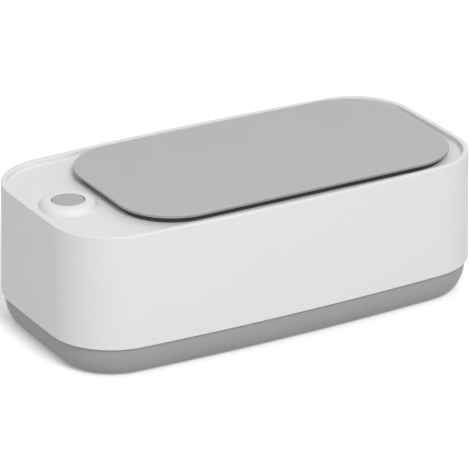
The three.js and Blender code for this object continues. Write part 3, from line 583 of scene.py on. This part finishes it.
def cut_deck(piece):
    """Cuts the tank hole, the rebate for the tank's flange and the hole of the button ring."""
    tank_hole = upright(lid_outline, "tank_hole", TANK_HOLE_INSET, (SEAM, RIM))
    combine(piece, tank_hole, "DIFFERENCE")
    rebate = upright(lid_outline, "tank_rebate", FLANGE_INSET - PLAY, (FLANGE_SEAT, RIM))
    combine(piece, rebate, "DIFFERENCE")
    hole_zs = (DECK_UNDERSIDE - MM, RIM)
    collar_hole = post("collar_hole", BUTTON_X, 0, SLEEVE_RADIUS + PLAY, hole_zs, sides=64)
    combine(piece, collar_hole, "DIFFERENCE")


def base_form(name, inset=0):
    """The base as a solid: an upright edge whose lower half curves in under the body."""
    # It is rounded while it is low and then stretched upwards, so that the curve rises steeply.
    height = 1.03 * BASE_CURVE
    piece = body_outline(name, BASE_INSET + inset, 0)
    extrude(height)
    close_up()
    round_edges(piece, lies_at(0), BASE_CURVE, segments=14)
    bpy.ops.mesh.select_all(action="SELECT")
    rise = (BASE_TOP - FOOT_PROUD) / height
    bpy.ops.transform.resize(value=(1, 1, rise), center_override=(0, 0, 0))
    move((0, 0, FOOT_PROUD))
    object_mode()
    return piece


def model_base():
    """Grey tray with a tongue that enters the housing, foot recesses and the battery bay."""
    piece = base_form("base_moulding")
    edit(piece)
    pick(piece, "FACE", faces_up_at(BASE_TOP))
    bpy.ops.mesh.delete(type="FACE")
    thicken(piece, BASE_WALL)
    tongue_zs = (BASE_TOP - TONGUE_ROOT, TONGUE_TOP)
    combine(piece, ring_wall(body_outline, "tongue", SHELL_WALL + PLAY, RIB, tongue_zs), "UNION")
    add_battery_bay(piece)
    add_base_bosses(piece)
    cut_battery_bay(piece)
    cut_foot_recesses(piece)
    finish_piece(piece, finishes["grey_base"], "housing", ["base_pan"])


def add_battery_bay(piece):
    """A thicker floor for the cover's channel, and the walls of the bay."""
    pad_half = BAY_HALF + COVER_FLANGE + CHANNEL_MARGIN
    pad_xs = (COVER_LEFT - CHANNEL_MARGIN, BODY_LENGTH / 2)
    pad_zs = (FLOOR_MIDDLE, CHANNEL_TOP + RIB)
    pad = block("channel_pad", pad_xs, (-pad_half, pad_half), pad_zs)
    combine(pad, base_form("pad_trim", BASE_WALL / 2), "INTERSECT")
    combine(piece, pad, "UNION")
    bay_ys = (-BAY_HALF - RIB, BAY_HALF + RIB)
    bay_zs = (FLOOR_MIDDLE, BAY_CEILING + RIB)
    bay = block("bay_walls", (BAY_LEFT - RIB, BAY_RIGHT + RIB), bay_ys, bay_zs)
    combine(piece, bay, "UNION")


def add_base_bosses(piece):
    """Pads over the feet, bosses for the housing screws and posts for the driver board."""
    for x, y in CORNERS.values():
        pad = post("foot_pad", x, y, FOOT_PAD_RADIUS, (FLOOR_MIDDLE, FOOT_PAD_TOP), sides=48)
        combine(piece, pad, "UNION")
        boss = post("boss", x, y, BOSS_RADIUS, (FLOOR_MIDDLE, TONGUE_TOP - PLAY))
        combine(piece, boss, "UNION")
    for number in (1, 2, 3, 4):
        low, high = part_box(f"driver_board_screw_{number}")
        x, y = (low.x + high.x) / 2, (low.y + high.y) / 2
        board_post = post("board_post", x, y, POST_RADIUS, (FLOOR_MIDDLE, BOARD_POST_TOP))
        combine(piece, board_post, "UNION")
        pilot = post("pilot", x, y, POST_HOLE_RADIUS, (FLOOR_MIDDLE + MM, BOARD_PILOT_TOP))
        combine(piece, pilot, "DIFFERENCE")


def cut_battery_bay(piece):
    """Cuts the T-shaped channel, the bay and the slots of the two contact tabs."""
    run = (COVER_LEFT - PLAY, BODY_LENGTH / 2 + MM)
    slot = block("cover_slot", run, (-BAY_HALF, BAY_HALF), (-MM, CHANNEL_TOP))
    combine(piece, slot, "DIFFERENCE")
    groove_half = BAY_HALF + COVER_FLANGE + PLAY
    groove = block("cover_groove", run, (-groove_half, groove_half), (COVER_LIP, CHANNEL_TOP))
    combine(piece, groove, "DIFFERENCE")
    bay_ys = (-BAY_HALF, BAY_HALF)
    bay_hollow = block("bay_hollow", (BAY_LEFT, BAY_RIGHT), bay_ys, (MM, BAY_CEILING))
    combine(piece, bay_hollow, "DIFFERENCE")
    half_width, half_height = TAB_SLOT_HALF
    tab_xs = (BAY_LEFT - TAB_SLOT_DEPTH, BAY_LEFT + MM)
    tab_zs = (CELL_AXIS - half_height, CELL_AXIS + half_height)
    for y in (-1.5 * CELL_PITCH, 1.5 * CELL_PITCH):
        tab_slot = block("tab_slot", tab_xs, (y - half_width, y + half_width), tab_zs)
        combine(piece, tab_slot, "DIFFERENCE")


def cut_foot_recesses(piece):
    """Under each foot a seat for it, and above that the head and the hole of a screw."""
    for x, y in CORNERS.values():
        seat = post("foot_recess", x, y, FOOT_RECESS_RADIUS, (-MM, FOOT_RECESS_TOP), sides=48)
        combine(piece, seat, "DIFFERENCE")
        head = post("head_recess", x, y, SCREW_HEAD_RADIUS, (-MM, SCREW_HEAD_TOP))
        combine(piece, head, "DIFFERENCE")
        hole = post("screw_hole", x, y, SCREW_HOLE_RADIUS, (0, TONGUE_TOP + MM))
        combine(piece, hole, "DIFFERENCE")


def model_battery_cover():
    """Slides in a T-shaped channel under the base and carries on its curve at the +X end."""
    run = (COVER_LEFT, BODY_LENGTH / 2)
    plate_half = BAY_HALF - PLAY
    flange_ys = (-BAY_HALF - COVER_FLANGE, BAY_HALF + COVER_FLANGE)
    piece = block("battery_cover", run, (-plate_half, plate_half), (FOOT_PROUD, COVER_TOP))
    flange = block("cover_flange", run, flange_ys, (COVER_FLANGE_BOTTOM, COVER_TOP))
    combine(piece, flange, "UNION")
    combine(piece, base_form("cover_trim"), "INTERSECT")
    for step in range(GRIPS):
        x = BAY_RIGHT + (step - GRIPS) * GRIP_PITCH
        groove = post("grip", 0, 0, GRIP_RADIUS, (-GRIP_HALF, GRIP_HALF), sides=24)
        groove.rotation_euler.x = math.radians(90)
        groove.location = (x, 0, FOOT_PROUD + GRIP_DEPTH - GRIP_RADIUS)
        combine(piece, groove, "DIFFERENCE")
    finish_piece(piece, finishes["grey_base"], "battery_door", ["battery_door"])


def model_feet():
    """Rubber discs with a rounded tread."""
    tread = FOOT_RADIUS - FOOT_ROUNDING
    rounding = (FOOT_ROUNDING, FOOT_ROUNDING)
    profile = [(0, 0), (tread, 0)]
    profile += arc((tread, FOOT_ROUNDING), rounding, -90, 0, steps=5)[1:]
    profile += [(FOOT_RADIUS, FOOT_TOP), (0, FOOT_TOP)]
    first_x, first_y = CORNERS["front_left"]
    first = spin_upright("rubber_foot_front_left", profile, first_x, first_y, steps=48)
    feet = {"front_left": first}
    for corner, (x, y) in list(CORNERS.items())[1:]:
        feet[corner] = copy_shifted(first, f"rubber_foot_{corner}", (x - first_x, y - first_y, 0))
    for corner, foot in feet.items():
        finish_piece(foot, finishes["rubber_foot"], "housing", [f"foot_{corner}"])


# Tank


def model_tank():
    """Drawn steel: one sheet that is pulled down from a flat flange, then given its wall."""
    piece = lid_outline("steel_tank", FLANGE_INSET, DECK)
    bpy.ops.mesh.inset(thickness=MOUTH_INSET - FLANGE_INSET)
    extrude(TANK_FLOOR - DECK)
    mouth_length = LID_LENGTH - 2 * MOUTH_INSET
    mouth_width = LID_WIDTH - 2 * MOUTH_INSET
    bpy.ops.transform.resize(
        value=(1 - 2 * TANK_DRAFT / mouth_length, 1 - 2 * TANK_DRAFT / mouth_width, 1),
        center_override=(LID_CENTRE, 0, TANK_FLOOR),
    )
    round_edges(piece, lies_at(TANK_FLOOR), TANK_FILLET, segments=12)

    def mouth(edge):
        return lies_at(DECK)(edge) and not edge.is_boundary

    round_edges(piece, mouth, TANK_MOUTH_ROUNDING, segments=4)
    bpy.ops.mesh.select_all(action="SELECT")
    bpy.ops.mesh.normals_make_consistent(inside=False)
    flange = next(
        face for face in bmesh.from_edit_mesh(piece.data).faces
        if abs(face.calc_center_median().z - DECK) < TINY
    )
    if flange.normal.z < 0:
        bpy.ops.mesh.flip_normals()
    object_mode()
    thicken(piece, TANK_SHEET)
    finish_piece(piece, finishes["tank_steel"], "housing", ["tank"])


def model_tank_seal():
    """Flat ring between the tank's flange and the housing."""
    low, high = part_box("tank_seal")
    wall = TANK_HOLE_INSET - FLANGE_INSET
    piece = ring_wall(lid_outline, "tank_gasket", FLANGE_INSET, wall, (low.z, high.z))
    finish_piece(piece, finishes["soft_seal"], "housing", ["tank_seal"])


# Lid


def lid_pins():
    """Places of the four pins that hold the liner under the panel."""
    reach_x = PIN_SHARE * (LID_LENGTH - 2 * PLUG_INSET)
    reach_y = PIN_SHARE * (LID_WIDTH - 2 * PLUG_INSET)
    return [
        (LID_CENTRE + side_x * reach_x, side_y * reach_y)
        for side_x in (-1, 1)
        for side_y in (-1, 1)
    ]


def model_lid_panel():
    """Flat grey panel whose upright edge is painted a darker grey as painted shade, and four pins
    under it.
    """
    underside = LID_TOP - LID_THICKNESS
    piece = lid_outline("lid_panel", 0, LID_TOP)
    extrude(-LID_THICKNESS)
    close_up()
    round_edges(piece, lies_at(LID_TOP), LID_ROUNDING, segments=5)
    round_edges(piece, lies_at(underside), LID_UNDER_ROUNDING, segments=2)
    object_mode()
    for x, y in lid_pins():
        pin = post("pin", x, y, PIN_RADIUS, (underside - MM, underside + PIN_ROOT), sides=24)
        combine(piece, pin, "UNION")
    for slot in ("grey_lid", "lid_side_painted_shade"):
        piece.data.materials.append(finishes[slot])

    # Painted shade: the panel's side faces get a darker copy of its grey, so that they look shaded
    def on_side(face):
        return abs(face.normal.z) < 0.5 and face.calc_center_median().z > underside

    edit(piece)
    colour_faces(piece, on_side, 1)
    object_mode()
    finish_piece(piece, None, "lid", ["lid_plate"])


def model_lid_liner():
    """Dark underside of the lid: a band on the deck and a plug wall with a groove for its seal."""
    piece = lid_outline("lid_liner_frame", LINER_INSET, LINER_TOP)
    extrude(LINER_BOTTOM - LINER_TOP)
    close_up()
    pick(piece, "FACE", faces_down_at(LINER_BOTTOM))
    bpy.ops.mesh.inset(thickness=PLUG_INSET - LINER_INSET)
    extrude(PLUG_BOTTOM - LINER_BOTTOM)
    for height in SEAL_GROOVE:
        bpy.ops.mesh.select_all(action="SELECT")
        bpy.ops.mesh.bisect(plane_co=(0, 0, height), plane_no=(0, 0, 1))

    def groove_wall(face):
        low, high = SEAL_GROOVE
        return abs(face.normal.z) < 0.1 and low < face.calc_center_median().z < high

    pick(piece, "FACE", groove_wall)
    bpy.ops.mesh.extrude_region_shrink_fatten(
        TRANSFORM_OT_shrink_fatten={"value": -SEAL_GROOVE_DEPTH}
    )
    pick(piece, "FACE", faces_down_at(PLUG_BOTTOM))
    bpy.ops.mesh.inset(thickness=PLUG_WALL)
    extrude(LINER_TOP - PLUG_ROOF - PLUG_BOTTOM)
    round_edges(piece, lies_at(PLUG_BOTTOM), PLUG_ROUNDING, segments=3)
    round_edges(piece, lies_at(LINER_BOTTOM), LINER_ROUNDING, segments=2)
    object_mode()
    rib_half = LID_WIDTH / 2 - PLUG_INSET - PLUG_WALL / 2
    rib_zs = (LINER_TOP - LINER_RIB_BOTTOM, LINER_TOP - LINER_RIB_TOP)
    for share in LINER_RIBS:
        x = LID_CENTRE + share * LID_LENGTH
        rib = block("liner_rib", (x - RIB / 2, x + RIB / 2), (-rib_half, rib_half), rib_zs)
        combine(piece, rib, "UNION")
    hole_zs = (LINER_TOP - PIN_HOLE_DEPTH, LINER_TOP + MM)
    for x, y in lid_pins():
        combine(piece, post("pin_hole", x, y, PIN_HOLE_RADIUS, hole_zs, sides=24), "DIFFERENCE")
    finish_piece(piece, finishes["dark_liner"], "lid", ["lid_liner"])


def model_lid_seal():
    """Soft ring in the groove of the plug, with a rounded lip on its outer side."""
    low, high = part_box("lid_seal")
    inset = MOUTH_INSET + PLAY
    wall = PLUG_INSET + SEAL_BITE - inset
    piece = ring_wall(lid_outline, "lid_gasket", inset, wall, (low.z, high.z))
    edit(piece)

    def lip(edge):
        first, second = edge.verts
        return abs(first.co.z - second.co.z) < TINY and is_outer(edge, LID_CENTRE)

    round_edges(piece, lip, SEAL_LIP, segments=4)
    object_mode()
    finish_piece(piece, finishes["soft_seal"], "lid", ["lid_seal"])


# Button


def model_button_ring():
    """Domed ring that flares out on to the deck, with a sleeve that clips under it."""
    low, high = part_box("button_collar")
    seat = DECK + TINY
    crest = BORE_RADIUS + (COLLAR_RADIUS - BORE_RADIUS) / 3
    dome_base = seat + COLLAR_FLARE / 2
    clip = SLEEVE_RADIUS + CLIP_REACH
    clip_top = low.z + CLIP_DEPTH
    profile = [
        (BORE_RADIUS, low.z),
        (clip - CLIP_LEAD, low.z),
        (clip, low.z + MM),
        (clip, clip_top),
        (SLEEVE_RADIUS, clip_top),
        (SLEEVE_RADIUS, seat),
    ]
    flare = (COLLAR_FLARE, COLLAR_FLARE)
    dome = (COLLAR_RADIUS - crest, high.z - dome_base)
    edge = (COLLAR_EDGE, COLLAR_EDGE)
    foot_centre = (COLLAR_RADIUS + COLLAR_FLARE, seat + COLLAR_FLARE)
    edge_centre = (BORE_RADIUS + COLLAR_EDGE, high.z - COLLAR_EDGE)
    profile += arc(foot_centre, flare, -90, -150, steps=6)
    profile += arc((crest, dome_base), dome, 20, 90, steps=12)
    profile += arc(edge_centre, edge, 90, 180, steps=4)
    profile += [(BORE_RADIUS, low.z)]
    piece = spin_upright("button_ring", profile, BUTTON_X, 0, steps=96)
    finish_piece(piece, finishes["white_shell"], "housing", ["button_collar"])


def model_button_cap():
    """Grey cap: a rounded top, a skirt with a flange that keeps it in, and a stem inside."""
    low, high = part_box("button_cap")
    roof = high.z - CAP_WALL
    stem_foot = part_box("tact_switch")[1].z + STEM_GAP
    flange = CAP_RADIUS + CAP_FLANGE
    profile = [
        (0, stem_foot),
        (STEM_RADIUS, stem_foot),
        (STEM_RADIUS, roof),
        (CAP_RADIUS - CAP_WALL, roof),
        (CAP_RADIUS - CAP_WALL, low.z),
        (flange, low.z),
        (flange, low.z + CAP_FLANGE),
        (CAP_RADIUS, low.z + CAP_FLANGE),
    ]
    edge_centre = (CAP_RADIUS - CAP_EDGE, high.z - CAP_EDGE)
    profile += arc(edge_centre, (CAP_EDGE, CAP_EDGE), 0, 90, steps=5)
    profile += [(0, high.z)]
    piece = spin_upright("button_cap_moulding", profile, BUTTON_X, 0, steps=96)
    finish_piece(piece, finishes["grey_button"], "button", ["button_cap"])


def model_button_spring():
    """A coil under the cap, wound from round wire."""
    low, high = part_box("button_spring")
    height = high.z - low.z
    radius = (high.x - low.x) / 2 - SPRING_WIRE
    wire_centre = (radius, 0, low.z + SPRING_WIRE)
    piece = begin_at_point("button_coil", (radius + SPRING_WIRE, 0, low.z + SPRING_WIRE))
    bpy.ops.mesh.spin(steps=12, angle=math.tau, center=wire_centre, axis=(0, 1, 0))
    bpy.ops.mesh.select_all(action="SELECT")
    bpy.ops.mesh.remove_doubles(threshold=WELD)
    object_mode()
    bpy.ops.object.modifier_add(type="SCREW")
    winding = piece.modifiers[-1]
    winding.axis = "Z"
    winding.screw_offset = (height - 2 * SPRING_WIRE) / SPRING_TURNS
    winding.iterations = SPRING_TURNS
    winding.steps = 32
    winding.render_steps = 32
    bpy.ops.object.modifier_apply(modifier=winding.name)
    edit(piece)
    bpy.ops.mesh.remove_doubles(threshold=WELD)
    bpy.ops.mesh.fill_holes(sides=0)
    close_up()
    move((BUTTON_X, 0, 0))
    object_mode()
    finish_piece(piece, finishes["zinc_steel"], "housing", ["button_spring"])
    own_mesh(piece)


# Cells


def model_cells():
    """Four alike, laid head to tail: a steel can in a plain jacket, crimped at both ends."""
    edge = (CELL_EDGE, CELL_EDGE)
    shoulder = CELL_LENGTH - NUB_LENGTH
    profile = [(0, CELL_DISH), (CELL_END_RADIUS, CELL_DISH), (CELL_END_RADIUS + CRIMP, 0)]
    profile += arc((CELL_RADIUS - CELL_EDGE, CELL_EDGE), edge, -90, 0, steps=4)
    profile += arc((CELL_RADIUS - CELL_EDGE, shoulder - CELL_EDGE), edge, 0, 90, steps=4)
    profile += [
        (CELL_END_RADIUS, shoulder),
        (CELL_END_RADIUS - CRIMP, shoulder - CRIMP),
        (NUB_RADIUS + CRIMP, shoulder - CRIMP),
    ]
    nub_centre = (NUB_RADIUS - NUB_ROUNDING, CELL_LENGTH - NUB_ROUNDING)
    profile += arc(nub_centre, (NUB_ROUNDING, NUB_ROUNDING), 0, 90, steps=3)
    profile += [(0, CELL_LENGTH)]
    low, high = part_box("cell_1")
    y = (low.y + high.y) / 2
    start = (low.x, y, CELL_AXIS)
    first = spin_profile("dry_cell_1", profile, start, along=(1, 0, 0), out=(0, 0, 1), steps=40)
    for slot in ("cell_jacket", "cell_band", "zinc_steel"):
        first.data.materials.append(finishes[slot])
    band_start = low.x + CELL_BAND_START * CELL_LENGTH

    def on_can(face):
        middle = face.calc_center_median()
        return math.hypot(middle.y - y, middle.z - CELL_AXIS) < CELL_CAN_RADIUS

    def on_band(face):
        return face.calc_center_median().x > band_start and not on_can(face)

    edit(first)
    bpy.ops.mesh.bisect(plane_co=(band_start, y, CELL_AXIS), plane_no=(1, 0, 0))
    colour_faces(first, on_band, 1)
    colour_faces(first, on_can, 2)
    object_mode()
    cells = [first]
    for number in (2, 3, 4):
        cell_low, cell_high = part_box(f"cell_{number}")
        shift = (cell_low + cell_high - low - high) / 2
        cells.append(copy_shifted(first, f"dry_cell_{number}", shift))
    for cell in (cells[1], cells[3]):
        turn_half_round(cell)
    for number, cell in enumerate(cells, 1):
        finish_piece(cell, None, "housing", [f"cell_{number}"])


# Finishes


class Finish:
    """A material with its Principled shader, to which surface detail is added step by step."""

    def __init__(self, name, colour, roughness, metallic=0.0):
        self.material = bpy.data.materials.new(name)
        self.material.use_nodes = True
        self.tree = self.material.node_tree
        self.shader = self.tree.nodes["Principled BSDF"]
        self.colour = colour
        self.shader.inputs["Base Color"].default_value = (*colour, 1)
        self.shader.inputs["Roughness"].default_value = roughness
        self.shader.inputs["Metallic"].default_value = metallic
        self.roughness = roughness
        self.place = self.node("ShaderNodeTexCoord").outputs["Object"]

    def node(self, kind, **settings):
        made = self.tree.nodes.new(kind)
        for key, value in settings.items():
            setattr(made, key, value)
        return made

    def join(self, output, socket):
        self.tree.links.new(output, socket)

    def stretched(self, scale):
        """Places on the object, scaled so that a pattern on them runs in one direction."""
        mapping = self.node("ShaderNodeMapping")
        mapping.inputs["Scale"].default_value = scale
        self.join(self.place, mapping.inputs["Vector"])
        return mapping.outputs["Vector"]

    def noise(self, scale, detail=2.0, place=None):
        made = self.node("ShaderNodeTexNoise")
        made.inputs["Scale"].default_value = scale
        made.inputs["Detail"].default_value = detail
        self.join(place or self.place, made.inputs["Vector"])
        return made.outputs["Fac"]

    def vary_colour(self, value, change):
        """Lightens and darkens the colour by a share, following a pattern from 0 to 1."""
        mix = self.node("ShaderNodeMix", data_type="RGBA")
        mix.inputs["A"].default_value = (*[part * (1 - change) for part in self.colour], 1)
        mix.inputs["B"].default_value = (*[part * (1 + change) for part in self.colour], 1)
        self.join(value, mix.inputs["Factor"])
        self.join(mix.outputs["Result"], self.shader.inputs["Base Color"])

    def vary_roughness(self, value, change):
        """Raises and lowers the roughness, following a pattern that stays near 0.5."""
        spread = self.node("ShaderNodeMapRange")
        spread.inputs["From Min"].default_value = 0.3
        spread.inputs["From Max"].default_value = 0.7
        spread.inputs["To Min"].default_value = self.roughness - change
        spread.inputs["To Max"].default_value = self.roughness + change
        self.join(value, spread.inputs["Value"])
        self.join(spread.outputs["Result"], self.shader.inputs["Roughness"])

    def raise_grain(self, value, depth, strength):
        """Makes the surface rise and fall a little, following a pattern."""
        bump = self.node("ShaderNodeBump")
        bump.inputs["Distance"].default_value = depth
        bump.inputs["Strength"].default_value = strength
        self.join(value, bump.inputs["Height"])
        self.join(bump.outputs["Normal"], self.shader.inputs["Normal"])


def satin_plastic(name, colour, roughness, grain=1.0):
    """Moulded plastic: spark-eroded grain, slow drift in gloss and a faint drift in tone."""
    finish = Finish(name, colour, roughness)
    finish.vary_colour(finish.noise(scale=22, detail=3), change=0.012)
    finish.vary_roughness(finish.noise(scale=60, detail=4), change=0.035)
    finish.raise_grain(finish.noise(scale=2600), depth=0.006 * MM * grain, strength=0.6)
    return finish


def drawn_steel():
    """Bright sheet with fine lines in the direction in which it was drawn."""
    finish = Finish("tank_steel_finish", (0.62, 0.63, 0.64), 0.24, metallic=1.0)
    lines = finish.noise(scale=900, detail=3, place=finish.stretched((0.02, 0.02, 1.0)))
    finish.vary_colour(finish.noise(scale=40, detail=3), change=0.04)
    finish.vary_roughness(lines, change=0.07)
    finish.raise_grain(lines, depth=0.004 * MM, strength=0.7)
    return finish


def simple_metal(name, colour, roughness, grain):
    """Plated or cast metal with a dull, slightly uneven skin."""
    finish = Finish(name, colour, roughness, metallic=1.0)
    finish.vary_colour(finish.noise(scale=300, detail=3), change=0.06)
    finish.vary_roughness(finish.noise(scale=900, detail=3), change=0.08)
    finish.raise_grain(finish.noise(scale=3000), depth=grain * MM, strength=0.5)
    return finish


def matt_solid(name, colour, roughness, grain, tone=0.05):
    """Rubber, ceramic or coated paper, with a fine tooth."""
    finish = Finish(name, colour, roughness)
    finish.vary_colour(finish.noise(scale=400, detail=3), change=tone)
    finish.vary_roughness(finish.noise(scale=700, detail=3), change=0.06)
    finish.raise_grain(finish.noise(scale=2200, detail=3), depth=grain * MM, strength=0.6)
    return finish


def coated_board():
    """Solder mask over copper tracks, which show as a lighter green and stand slightly proud."""
    finish = Finish("board_finish", (0.02, 0.16, 0.07), 0.35)
    tracks = finish.node("ShaderNodeTexBrick", offset=0.37, squash=1.6)
    tracks.inputs["Scale"].default_value = 180
    tracks.inputs["Mortar Size"].default_value = 0.09
    tracks.inputs["Color1"].default_value = (0, 0, 0, 1)
    tracks.inputs["Color2"].default_value = (0.15, 0.15, 0.15, 1)
    tracks.inputs["Mortar"].default_value = (1, 1, 1, 1)
    finish.join(finish.place, tracks.inputs["Vector"])
    finish.vary_colour(tracks.outputs["Fac"], change=0.3)
    finish.vary_roughness(finish.noise(scale=500, detail=3), change=0.05)
    finish.raise_grain(tracks.outputs["Fac"], depth=0.03 * MM, strength=0.6)
    return finish


def wound_copper():
    """Enamelled wire laid side by side round the core."""
    finish = Finish("winding_finish", (0.42, 0.13, 0.05), 0.3, metallic=1.0)
    turns = finish.node("ShaderNodeTexWave", wave_type="BANDS", bands_direction="Z")
    turns.inputs["Scale"].default_value = 500
    turns.inputs["Distortion"].default_value = 0.6
    finish.join(finish.place, turns.inputs["Vector"])
    finish.vary_colour(turns.outputs["Fac"], change=0.3)
    finish.vary_roughness(finish.noise(scale=800), change=0.06)
    finish.raise_grain(turns.outputs["Fac"], depth=0.08 * MM, strength=0.8)
    return finish


def make_finishes():
    made = {
        "white_shell": satin_plastic("white_shell_finish", (0.76, 0.76, 0.76), 0.5),
        "grey_base": satin_plastic("grey_base_finish", (0.35, 0.35, 0.35), 0.52),
        "grey_lid": satin_plastic("grey_lid_finish", (0.452, 0.452, 0.452), 0.55),
        # Painted shade for the side faces of the lid panel: the lid's grey plastic, made darker
        "lid_side_painted_shade": satin_plastic("lid_side_painted_shade_finish", (0.33, 0.33, 0.33), 0.5),
        "grey_button": satin_plastic("grey_button_finish", (0.41, 0.41, 0.41), 0.5),
        "dark_liner": satin_plastic("dark_liner_finish", (0.04, 0.04, 0.042), 0.6, 1.5),
        "soft_seal": matt_solid("soft_seal_finish", (0.62, 0.62, 0.6), 0.7, 0.01, 0.02),
        "rubber_foot": matt_solid("rubber_foot_finish", (0.05, 0.05, 0.05), 0.8, 0.02),
        "tank_steel": drawn_steel(),
        "zinc_steel": simple_metal("zinc_steel_finish", (0.55, 0.56, 0.57), 0.32, 0.006),
        "aluminium": simple_metal("aluminium_finish", (0.72, 0.73, 0.74), 0.38, 0.01),
        "ceramic": matt_solid("ceramic_finish", (0.58, 0.54, 0.44), 0.55, 0.01),
        "green_board": coated_board(),
        "black_plastic": satin_plastic("black_plastic_finish", (0.025, 0.025, 0.025), 0.45),
        "ferrite": matt_solid("ferrite_finish", (0.05, 0.05, 0.055), 0.7, 0.03),
        "copper_winding": wound_copper(),
        "ivory_plastic": satin_plastic("ivory_plastic_finish", (0.72, 0.66, 0.5), 0.4),
        "cell_jacket": matt_solid("cell_jacket_finish", (0.07, 0.12, 0.18), 0.3, 0.002, 0.03),
        "cell_band": matt_solid("cell_band_finish", (0.62, 0.4, 0.16), 0.3, 0.002, 0.03),
        "red_wire": satin_plastic("red_wire_finish", (0.38, 0.03, 0.025), 0.4),
        "black_wire": satin_plastic("black_wire_finish", (0.02, 0.02, 0.022), 0.4),
    }
    return {slot: finish.material for slot, finish in made.items()}


def finish_cad_nodes():
    """The pieces inside the housing keep their CAD shape and get the finish of their slot."""
    slots = {part["node"]: part["material_slot"] for part in frame["record"]["subparts"]}
    for name, node in frame["nodes"].items():
        material = finishes[slots[name]]
        if not node.material_slots:
            node.data.materials.append(material)
        for slot in node.material_slots:
            slot.material = material


# Stage


def camera_rays(tree):
    """1 for rays that only show the background: from the camera, or seen in metal or glass."""
    light_path = tree.nodes.new("ShaderNodeLightPath")
    total = light_path.outputs["Is Camera Ray"]
    for kind in ("Is Glossy Ray", "Is Transmission Ray"):
        maximum = tree.nodes.new("ShaderNodeMath")
        maximum.operation = "MAXIMUM"
        tree.links.new(total, maximum.inputs[0])
        tree.links.new(light_path.outputs[kind], maximum.inputs[1])
        total = maximum.outputs["Value"]
    return total


def lay_floor():
    """A plain floor that shows white, keeps the object's shadow and returns some light."""
    begin("floor")
    bpy.ops.transform.resize(value=(FLOOR_SIZE, FLOOR_SIZE, 1))
    object_mode()
    floor = bpy.context.object
    material = bpy.data.materials.new("floor_finish")
    material.use_nodes = True
    tree = material.node_tree
    shader = tree.nodes["Principled BSDF"]
    shader.inputs["Roughness"].default_value = 0.9
    shader.inputs["Specular IOR Level"].default_value = 0.0
    mix = tree.nodes.new("ShaderNodeMix")
    mix.data_type = "RGBA"
    mix.inputs["A"].default_value = (FLOOR_TONE, FLOOR_TONE, FLOOR_TONE, 1)
    mix.inputs["B"].default_value = (1, 1, 1, 1)
    seen = camera_rays(tree)
    tree.links.new(seen, mix.inputs["Factor"])
    tree.links.new(mix.outputs["Result"], shader.inputs["Base Color"])
    glow = tree.nodes.new("ShaderNodeMath")
    glow.operation = "MULTIPLY"
    glow.inputs[1].default_value = FLOOR_GLOW
    tree.links.new(seen, glow.inputs[0])
    shader.inputs["Emission Color"].default_value = (1, 1, 1, 1)
    tree.links.new(glow.outputs["Value"], shader.inputs["Emission Strength"])
    floor.data.materials.append(material)


def light_world():
    """Even light from all round, in place of which the camera sees plain white."""
    world = bpy.data.worlds.new("studio")
    bpy.context.scene.world = world
    world.use_nodes = True
    tree = world.node_tree
    background = tree.nodes["Background"]
    background.inputs["Color"].default_value = (1, 1, 1, 1)
    mix = tree.nodes.new("ShaderNodeMix")
    mix.data_type = "FLOAT"
    mix.inputs["A"].default_value = WORLD_STRENGTH
    mix.inputs["B"].default_value = 1.0
    tree.links.new(camera_rays(tree), mix.inputs["Factor"])
    tree.links.new(mix.outputs["Result"], background.inputs["Strength"])


def hang_facing(item, place, target):
    """Hangs a lamp or the camera at a place, turned towards a point."""
    item.location = place
    item.rotation_euler = (target - Vector(place)).to_track_quat("-Z", "Y").to_euler()
    bpy.context.collection.objects.link(item)


def hang_softbox(name, place, size, power):
    """A square lamp that points at the object."""
    light = bpy.data.lights.new(name, "AREA")
    light.shape = "SQUARE"
    light.size = size
    light.energy = power
    hang_facing(bpy.data.objects.new(name, light), place, LIGHT_AIM)


def set_camera():
    """A long lens that looks down from the front left, as in the photograph."""
    data = bpy.data.cameras.new("camera")
    data.lens = CAMERA_LENS
    data.sensor_width = CAMERA_SENSOR
    data.clip_start = CAMERA_NEAREST
    camera = bpy.data.objects.new("camera", data)
    hang_facing(camera, CAMERA_PLACE, CAMERA_TARGET)
    bpy.context.scene.camera = camera


set_camera()
finishes = make_finishes()
finish_cad_nodes()
model_housing()
model_base()
model_battery_cover()
model_feet()
model_tank()
model_tank_seal()
model_lid_panel()
model_lid_liner()
model_lid_seal()
model_button_ring()
model_button_cap()
model_button_spring()
model_cells()
lay_floor()
light_world()
hang_softbox("key_softbox", place=(-0.26, -1.2, 1.17), size=0.6, power=15)
hang_softbox("back_softbox", place=(0.85, 0.85, 1.2), size=0.6, power=1)
bpy.context.scene.view_settings.view_transform = "Standard"
